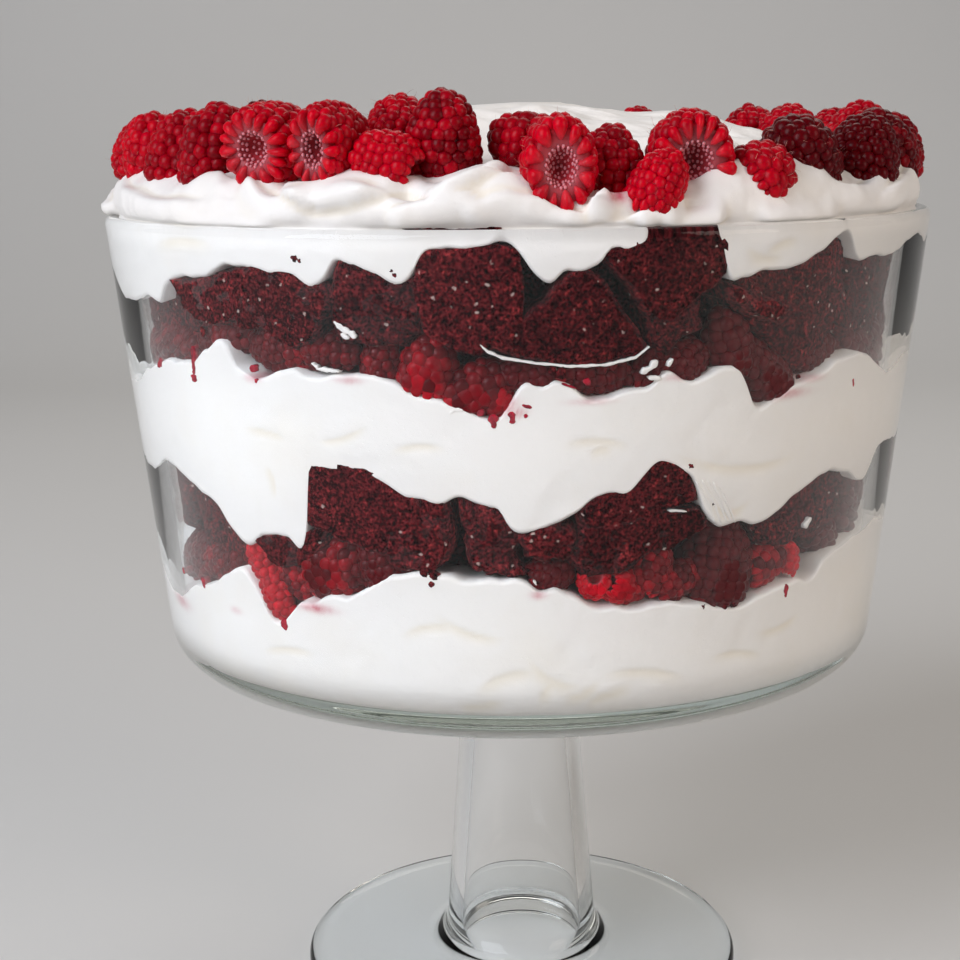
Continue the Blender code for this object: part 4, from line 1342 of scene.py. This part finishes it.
# How a berry that shows differs from its solid: mm outwards, along the rim and up, its width and height as
# shares, degrees that it is turned about the upright, and how bright it is.
Nudge = namedtuple("Nudge", "out along up wide tall turn tone", defaults=(0, 0, 0, 1, 1, 0, 0))
NUDGES = {
    1: Nudge(tone=0.15),
    2: Nudge(tone=0.1),
    3: Nudge(tone=0.25),
    4: Nudge(tone=-0.1),
    5: Nudge(tone=-0.05),
    6: Nudge(0.5, 4.5, 0.5, 1.08, 1.02, 0, 0.1),
    7: Nudge(1.0, 3.6, 0.5, 0.84, 1.10, 20, 0.05),
    8: Nudge(0.5, 1.0, 0, 1, 1, 0, 0.2),
    9: Nudge(0, -2.8, 0.3, 1.0, 1.0, 0, -0.15),
    11: Nudge(0.5, -0.6, -3.0, 0.80, 1.05, -28, 0.3),
    12: Nudge(3.5, -0.5, -5.5, 0.95, 0.95, 0, -0.15),
    13: Nudge(1.5, -1.4, -3.8, 0.8, 0.9, 0, 0.3),
    14: Nudge(2.2, -2.6, -3.5, 1.0, 1.12, -18, 0.2),
    15: Nudge(1.0, -2.5, -3.2, 1.15, 1.15, 0, 0.1),
    16: Nudge(1.5, -2.0, -2.5, 1.05, 1.05, 0, -0.6),
    17: Nudge(1.5, 1.5, -3.5, 1.0, 1.05, 0, -0.6),
    18: Nudge(1.5, 2.0, -2.0, 1.05, 1.1, 0, -0.4),
    19: Nudge(1.0, 0, -1.0, 1.1, 1.1, 0, -0.15),
    20: Nudge(0, 0, 0, 1, 1, 0, -0.2),
}


def berry_frame(node):
    """Where a topping berry lies, its length and its width, read from its solid.
    The two points where the most faces meet are its tip and the bottom of its hollow."""
    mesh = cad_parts[node].data
    spots = {}
    keys = [tuple(round(c * 1e6) for c in v.co) for v in mesh.vertices]
    for polygon in mesh.polygons:
        for k in polygon.vertices:
            spots.setdefault(keys[k], set()).add(polygon.index)
    ends = sorted(spots, key=lambda key: -len(spots[key]))[:2]
    one, other = (Vector(key) * 1e-6 for key in ends)
    points = [Vector(key) * 1e-6 for key in spots]
    centre = sum(points, Vector()) / len(points)
    tip, hollow = (one, other) if (one - centre).length > (other - centre).length else (other, one)
    axis = (tip - hollow).normalized()
    length = (tip - hollow).length / (1 - HOLLOW_DEPTH)
    base = tip - axis * length
    width = 2 * max((p - base - axis * (p - base).dot(axis)).length for p in points)
    turn = axis.to_track_quat("Z", "Y").to_matrix().to_4x4()
    return Matrix.Translation(base) @ turn, length, width


class TRIFLE_OT_top_berries(bpy.types.Operator):
    """Sets the raspberries round the top"""

    bl_idname = "trifle.top_berries"
    bl_label = "Topping Raspberries"

    def execute(self, context):
        finishes = (raspberry_skin(), berry_hair())
        shapes = berry_shapes()
        names = sorted(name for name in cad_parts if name.startswith("raspberry_"))
        for name in names:
            number = int(name.split("_")[1])
            place, length, width = berry_frame(name)
            nudge = NUDGES.get(number, Nudge())
            middle = place @ Vector((0, 0, length / 2))
            around = math.atan2(middle.x, -middle.y)
            out = Vector((math.sin(around), -math.cos(around), 0))
            shift = out * nudge.out + Vector((-out.y, out.x, 0)) * nudge.along + Vector((0, 0, nudge.up))
            turn = Matrix.Rotation(math.radians(nudge.turn), 4, "Z")
            stay = Matrix.Translation(middle + shift * MM) @ turn @ Matrix.Translation(-middle)
            place = stay @ place @ Matrix.Diagonal((nudge.wide, nudge.tall, 1, 1))
            heap = Heap("tone", "inside")
            draw = random.Random(100 + number)
            opened = number in OPEN_BERRIES
            add_berry(heap, draw, place, length, width, shapes, opened, hairs=40, tone=nudge.tone)
            piece = heap.build(f"berry_{number:02d}", *finishes)
            belongs(piece, "raspberry", name)
        return {"FINISHED"}


# What has run, smeared and crumbled


# Cream smeared on the glass between the pieces: its half width in mm, and where it runs (angle, height in
# mm).
Smear = namedtuple("Smear", "width path")
CREAM_SMEARS = [Smear(*row) for row in (
    (0.36, ((-4.3, 186.4), (-3.4, 184.9), (-1.7, 183.6), (2.3, 182.4), (6.6, 181.6), (10.7, 181.7),
     (14.4, 183), (16.1, 185.2))),
    (0.8, ((-22.4, 190.8), (-21.4, 189.2), (-20.2, 188.2), (-19.7, 187.4))),
    (0.6, ((-21.6, 188.2), (-20.6, 187.2))), (0.35, ((23.4, 155.2), (25.6, 150), (26.8, 145))),
    (0.5, ((24.3, 155.3), (26.4, 150), (27.7, 145))), (0.3, ((25.2, 155.2), (27.2, 150), (28.6, 145))),
    (0.55, ((26.0, 154.6), (28.0, 149), (29.4, 144.8))),
    (0.35, ((27.0, 153.4), (28.8, 148.4), (30.0, 144.6))),
    (0.5, ((-8.2, 171.8), (-7.6, 172.6), (-6.6, 172.4))),
    (0.8, ((15.2, 179.6), (16.4, 180.6), (17.2, 182.2))), (0.7, ((16.2, 178.6), (17.8, 178.2))),
    (0.5, ((18.6, 180.8), (19.2, 182.4))), (0.9, ((43.2, 140.2), (44.4, 142.2))),
    (0.35, ((2.0, 134.6), (2.4, 133.6))), (0.3, ((19.8, 149.0), (22.4, 148.4))),
    (0.5, ((-25.4, 180.4), (-22.2, 180.0))), (0.45, ((-26.0, 181.6), (-25.2, 180.6))),
)]
# Cake that shows as a dark line just under the rim, in the same terms.
CAKE_LINES = [Smear(*row) for row in (
    (0.5, ((-13.2, 210.2), (-10, 209.9), (-7, 209.7), (-4, 209.9), (-1.6, 210.2))),
)]
# Juice and pulp run down over the cream, in the same terms.
JUICE_RUNS = [Smear(*row) for row in (
    (1.0, ((-46.6, 183), (-46.9, 179), (-47.2, 176.4))), (1.35, ((-47.3, 176.4), (-47.2, 174.6))),
    (0.9, ((-55.6, 178), (-57.2, 176.4))), (1.3, ((-35.4, 180.2), (-35.3, 178.6))),
    (0.55, ((-35.0, 177.2), (-35.0, 176.2))), (1.15, ((-2.9, 171.6), (-2.8, 168.6))),
    (1.2, ((-0.7, 172.2), (-0.5, 169.6))), (0.8, ((-4.6, 172.6), (-4.2, 171.4))),
    (0.5, ((0.9, 171.6), (1.2, 170.9))), (0.5, ((0.6, 173.6), (1.8, 173.0))),
    (0.6, ((50.2, 173.4), (50.6, 171.6))), (0.95, ((40.6, 127.4), (40.8, 124.2))),
    (1.1, ((-53.4, 126.0), (-52.8, 123.4))), (0.8, ((-60.0, 126.2), (-59.8, 124.6))),
    (0.7, ((8.0, 178.6), (8.9, 177.8))), (0.35, ((5.4, 178.0), (7.2, 176.9))),
    (1.3, ((-35.2, 121.2), (-34.8, 118.6))),
)]
# Loose crumbs on the cream: (angle, height in mm, size in mm).
CRUMBS = (
    (-27.0, 203.9, 1.0), (-26.4, 203.5, 0.6), (-14.6, 201.8, 0.55), (-14.2, 200.9, 0.75),
    (-11.8, 137.4, 1.5), (-12.6, 136.2, 1.1), (-11.2, 135.4, 1.2), (-11.6, 133.6, 0.8), (5.2, 180.2, 1.3),
    (4.4, 180.8, 0.9), (26.3, 149.4, 0.5), (2.4, 133.8, 0.5), (3.2, 133.0, 0.4), (26.0, 125.6, 0.6),
    (29.6, 124.9, 0.7), (31.0, 125.0, 0.6), (-44.0, 186.8, 1.0), (-37.2, 186.4, 0.8), (22.6, 158.6, 0.7),
    (38.5, 176.0, 0.5),
)


def add_run(heap, smear, **values):
    """A flat bead of cream or juice along a path on the glass."""
    corners = np.array(smear.path, float)
    steps = np.linspace(0, len(corners) - 1, 1 + 7 * (len(corners) - 1))
    angle = np.interp(steps, np.arange(len(corners)), corners[:, 0])
    height = np.interp(steps, np.arange(len(corners)), corners[:, 1])
    across_mm = np.radians(angle) * GLASS_ARC
    along = np.stack([np.gradient(across_mm), np.gradient(height)], axis=1)
    along /= np.linalg.norm(along, axis=1, keepdims=True)
    share = steps / steps[-1]
    waver = np.array([noise.noise(Vector((a, b, smear.width * 9)) / 1.7) for a, b in zip(across_mm, height)])
    width = smear.width * (0.85 + 0.5 * waver) * np.sqrt(np.clip(1 - (2 * share - 1) ** 6, 0.12, 1))
    turn = np.radians(np.arange(0, 360, 36))
    rows = []
    for k in range(len(steps)):
        here = across_mm[k] * 1.3, height[k] * 1.3
        jag = [noise.noise(Vector((*here, math.copysign(4, c)))) for c in np.cos(turn)]
        side = np.cos(turn) * width[k] * (1 + 0.7 * np.array(jag))
        deep = 0.3 - np.sin(turn) * (1.0 + 0.2 * width[k])
        rows.append(by_glass(across_mm[k] - along[k, 1] * side, height[k] + along[k, 0] * side, deep))
    first = by_glass(across_mm[:1], height[:1], np.zeros(1))[0]
    last = by_glass(across_mm[-1:], height[-1:], np.zeros(1))[0]
    points, faces = skin(np.array(rows), first, last)
    heap.add(kept_inside(points, 0.4 * MM), faces, **values)


def raspberry_juice():
    """Raspberry juice with pulp in it: thin, clear and deep red, with a wet gloss."""
    material, add = new_material("raspberry_juice")
    place = add("TexCoord").outputs["Object"]
    pulp = add("TexNoise", {"Vector": place, "Scale": 1 / (1.5 * MM), "Detail": 2.0})
    colour = add("ValToRGB", {"Fac": pulp}, ((0.35, linear("#7A0520")), (0.65, linear("#B50F2C"))))
    wet = {"Roughness": 0.15, "IOR": 1.35, "Coat Weight": 0.4}
    body = add("BsdfPrincipled", {"Base Color": colour, **wet})
    add("OutputMaterial", {"Surface": body})
    return material


class TRIFLE_OT_runs(bpy.types.Operator):
    """Adds the smears of cream, the juice that has run and the loose crumbs"""

    bl_idname = "trifle.runs"
    bl_label = "Smears, Juice and Crumbs"

    def execute(self, context):
        for name, slot, smears, finish in (
            ("cream_smears", "whipped_cream", CREAM_SMEARS, whipped_cream()),
            ("juice_runs", "raspberry", JUICE_RUNS, raspberry_juice()),
        ):
            heap = Heap()
            for smear in smears:
                add_run(heap, smear)
            belongs(heap.build(name, finish), slot)
        heap = Heap("pit", "piece")
        for smear in CAKE_LINES:
            add_run(heap, smear, pit=0.4, piece=0.5)
        draw = random.Random(9)
        points, faces = ball(2)
        for angle, up, size in CRUMBS:
            shift = Vector((angle, up, size))
            rough = np.array([noise.noise(Vector(p) * 1.6 + shift) for p in points])
            crumb = points * (1 + 0.7 * rough)[:, None] * size * MM
            crumb = moved(crumb, Matrix.Rotation(draw.uniform(0, 6), 4, "Y"))
            crumb = moved(crumb, on_glass_frame(angle, up * MM, 0.2 * size * MM))
            heap.add(kept_inside(crumb, 0.4 * MM), faces, pit=0.1, piece=0.9)
        belongs(heap.build("loose_crumbs", red_velvet()), "red_velvet_cake")
        return {"FINISHED"}


# The stage


class StageSettings(bpy.types.PropertyGroup):
    """The floor, the lights and the camera"""

    floor: colour_setting("Floor", "Colour of the floor and backdrop", "#D9D8D5")
    key: bpy.props.FloatProperty(
        name="Key", description="Strength of the window light", default=23.5, unit="POWER"
    )
    fill: bpy.props.FloatProperty(
        name="Fill", description="Strength of the warm fill", default=6.0, unit="POWER"
    )
    air: bpy.props.FloatProperty(name="Air", description="Strength of the light all round", default=0.16)


def soft_light(name, place, aim, size, power, colour):
    data = bpy.data.lights.new(name, "AREA")
    data.shape = "RECTANGLE"
    data.size, data.size_y = size
    data.energy = power
    data.color = linear(colour)[:3]
    made = bpy.data.objects.new(name, data)
    made.location = place
    made.rotation_mode = "QUATERNION"
    made.rotation_quaternion = (Vector(aim) - Vector(place)).to_track_quat("-Z", "Y")
    bpy.context.scene.collection.objects.link(made)


def backdrop(material):
    """A pale floor that sweeps up behind."""
    outline = [(-1.4, -0.1 * MM), (1.1, -0.1 * MM)]
    outline += [(1.1 + 0.5 * math.sin(a), 0.5 - 0.5 * math.cos(a)) for a in np.radians(np.arange(9, 91, 9))]
    outline += [(1.6, 2.4)]
    rows = [[(x, y, z) for x in (-3.0, 3.0)] for y, z in outline]
    points = [p for row in rows for p in row]
    faces = [(2 * k, 2 * k + 1, 2 * k + 3, 2 * k + 2) for k in range(len(rows) - 1)]
    heap = Heap()
    heap.add(points, faces)
    return heap.build("sweep", material)


def painted_board():
    """Matt painted board: pale, even and without gloss."""
    material, add = new_material("matt_painted_board")
    place = add("TexCoord").outputs["Object"]
    tone = add("TexNoise", {"Vector": place, "Scale": 1.5, "Detail": 2.0})
    pale = bpy.context.scene.trifle_stage.floor
    colour = add("ValToRGB", {"Fac": tone}, ((0.3, [c * 0.97 for c in pale]), (0.7, pale)))
    body = add("BsdfPrincipled", {"Base Color": colour, "Roughness": 0.75})
    add("OutputMaterial", {"Surface": body})
    return material


class TRIFLE_OT_stage(bpy.types.Operator):
    """Sets the floor, the lights and the camera"""

    bl_idname = "trifle.stage"
    bl_label = "Stage"

    def execute(self, context):
        settings = context.scene.trifle_stage
        backdrop(painted_board())
        soft_light("window", (-0.98, -0.98, 0.9), (0, 0, 0.16), (0.9, 1.3), settings.key, "#F3F6FF")
        soft_light("room", (1.1, -0.7, 0.6), (0, 0, 0.16), (0.6, 0.9), settings.fill, "#FFF0E6")
        soft_light("back", (0.3, 1.0, 1.3), (0, 0, 0.18), (1.2, 0.7), settings.fill, "#FFF8F0")
        world = bpy.data.worlds.new("air")
        context.scene.world = world
        world.use_nodes = True
        world.node_tree.nodes["Background"].inputs["Color"].default_value = linear("#EFF1F3")
        world.node_tree.nodes["Background"].inputs["Strength"].default_value = settings.air

        data = bpy.data.cameras.new("camera")
        data.lens = 63.66
        data.sensor_width = 36
        data.clip_start = 0.01
        camera = bpy.data.objects.new("camera", data)
        pitch, yaw, roll = math.radians(11.70), math.radians(1.295), math.radians(-0.719)
        upright = Matrix.Rotation(yaw, 4, "Z") @ Matrix.Rotation(math.pi / 2 - pitch, 4, "X")
        turn = upright @ Matrix.Rotation(roll, 4, "Z")
        camera.matrix_world = Matrix.Translation((0, -0.448, 0.230)) @ turn
        context.scene.collection.objects.link(camera)
        context.scene.camera = camera
        context.scene.view_settings.view_transform = "Standard"
        return {"FINISHED"}


class TRIFLE_PT_panel(bpy.types.Panel):
    """Lists the trifle's pieces"""

    bl_label = "Trifle"
    bl_idname = "TRIFLE_PT_panel"
    bl_space_type = "VIEW_3D"
    bl_region_type = "UI"
    bl_category = "Trifle"

    def draw(self, context):
        for operator in OPERATORS:
            self.layout.operator(operator.bl_idname)
        for group in GROUPS:
            settings = getattr(context.scene, group)
            box = self.layout.box()
            for name in GROUPS[group].__annotations__:
                box.prop(settings, name)


OPERATORS = (
    TRIFLE_OT_bowl,
    TRIFLE_OT_cream,
    TRIFLE_OT_cake,
    TRIFLE_OT_band_berries,
    TRIFLE_OT_top_berries,
    TRIFLE_OT_runs,
    TRIFLE_OT_stage,
)
GROUPS = {
    "trifle_bowl": BowlSettings,
    "trifle_cream": CreamSettings,
    "trifle_cake": CakeSettings,
    "trifle_berry": BerrySettings,
    "trifle_stage": StageSettings,
}


def register():
    for group, settings in GROUPS.items():
        bpy.utils.register_class(settings)
        setattr(bpy.types.Scene, group, bpy.props.PointerProperty(type=settings))
    for item in (*OPERATORS, TRIFLE_PT_panel):
        bpy.utils.register_class(item)


def unregister():
    for item in (TRIFLE_PT_panel, *reversed(OPERATORS)):
        bpy.utils.unregister_class(item)
    for group, settings in reversed(GROUPS.items()):
        delattr(bpy.types.Scene, group)
        bpy.utils.unregister_class(settings)


def main():
    register()
    bpy.ops.trifle.bowl()
    bpy.ops.trifle.cream()
    bpy.ops.trifle.cake()
    bpy.ops.trifle.band_berries()
    bpy.ops.trifle.top_berries()
    bpy.ops.trifle.runs()
    bpy.ops.trifle.stage()


if __name__ == "__main__":
    main()
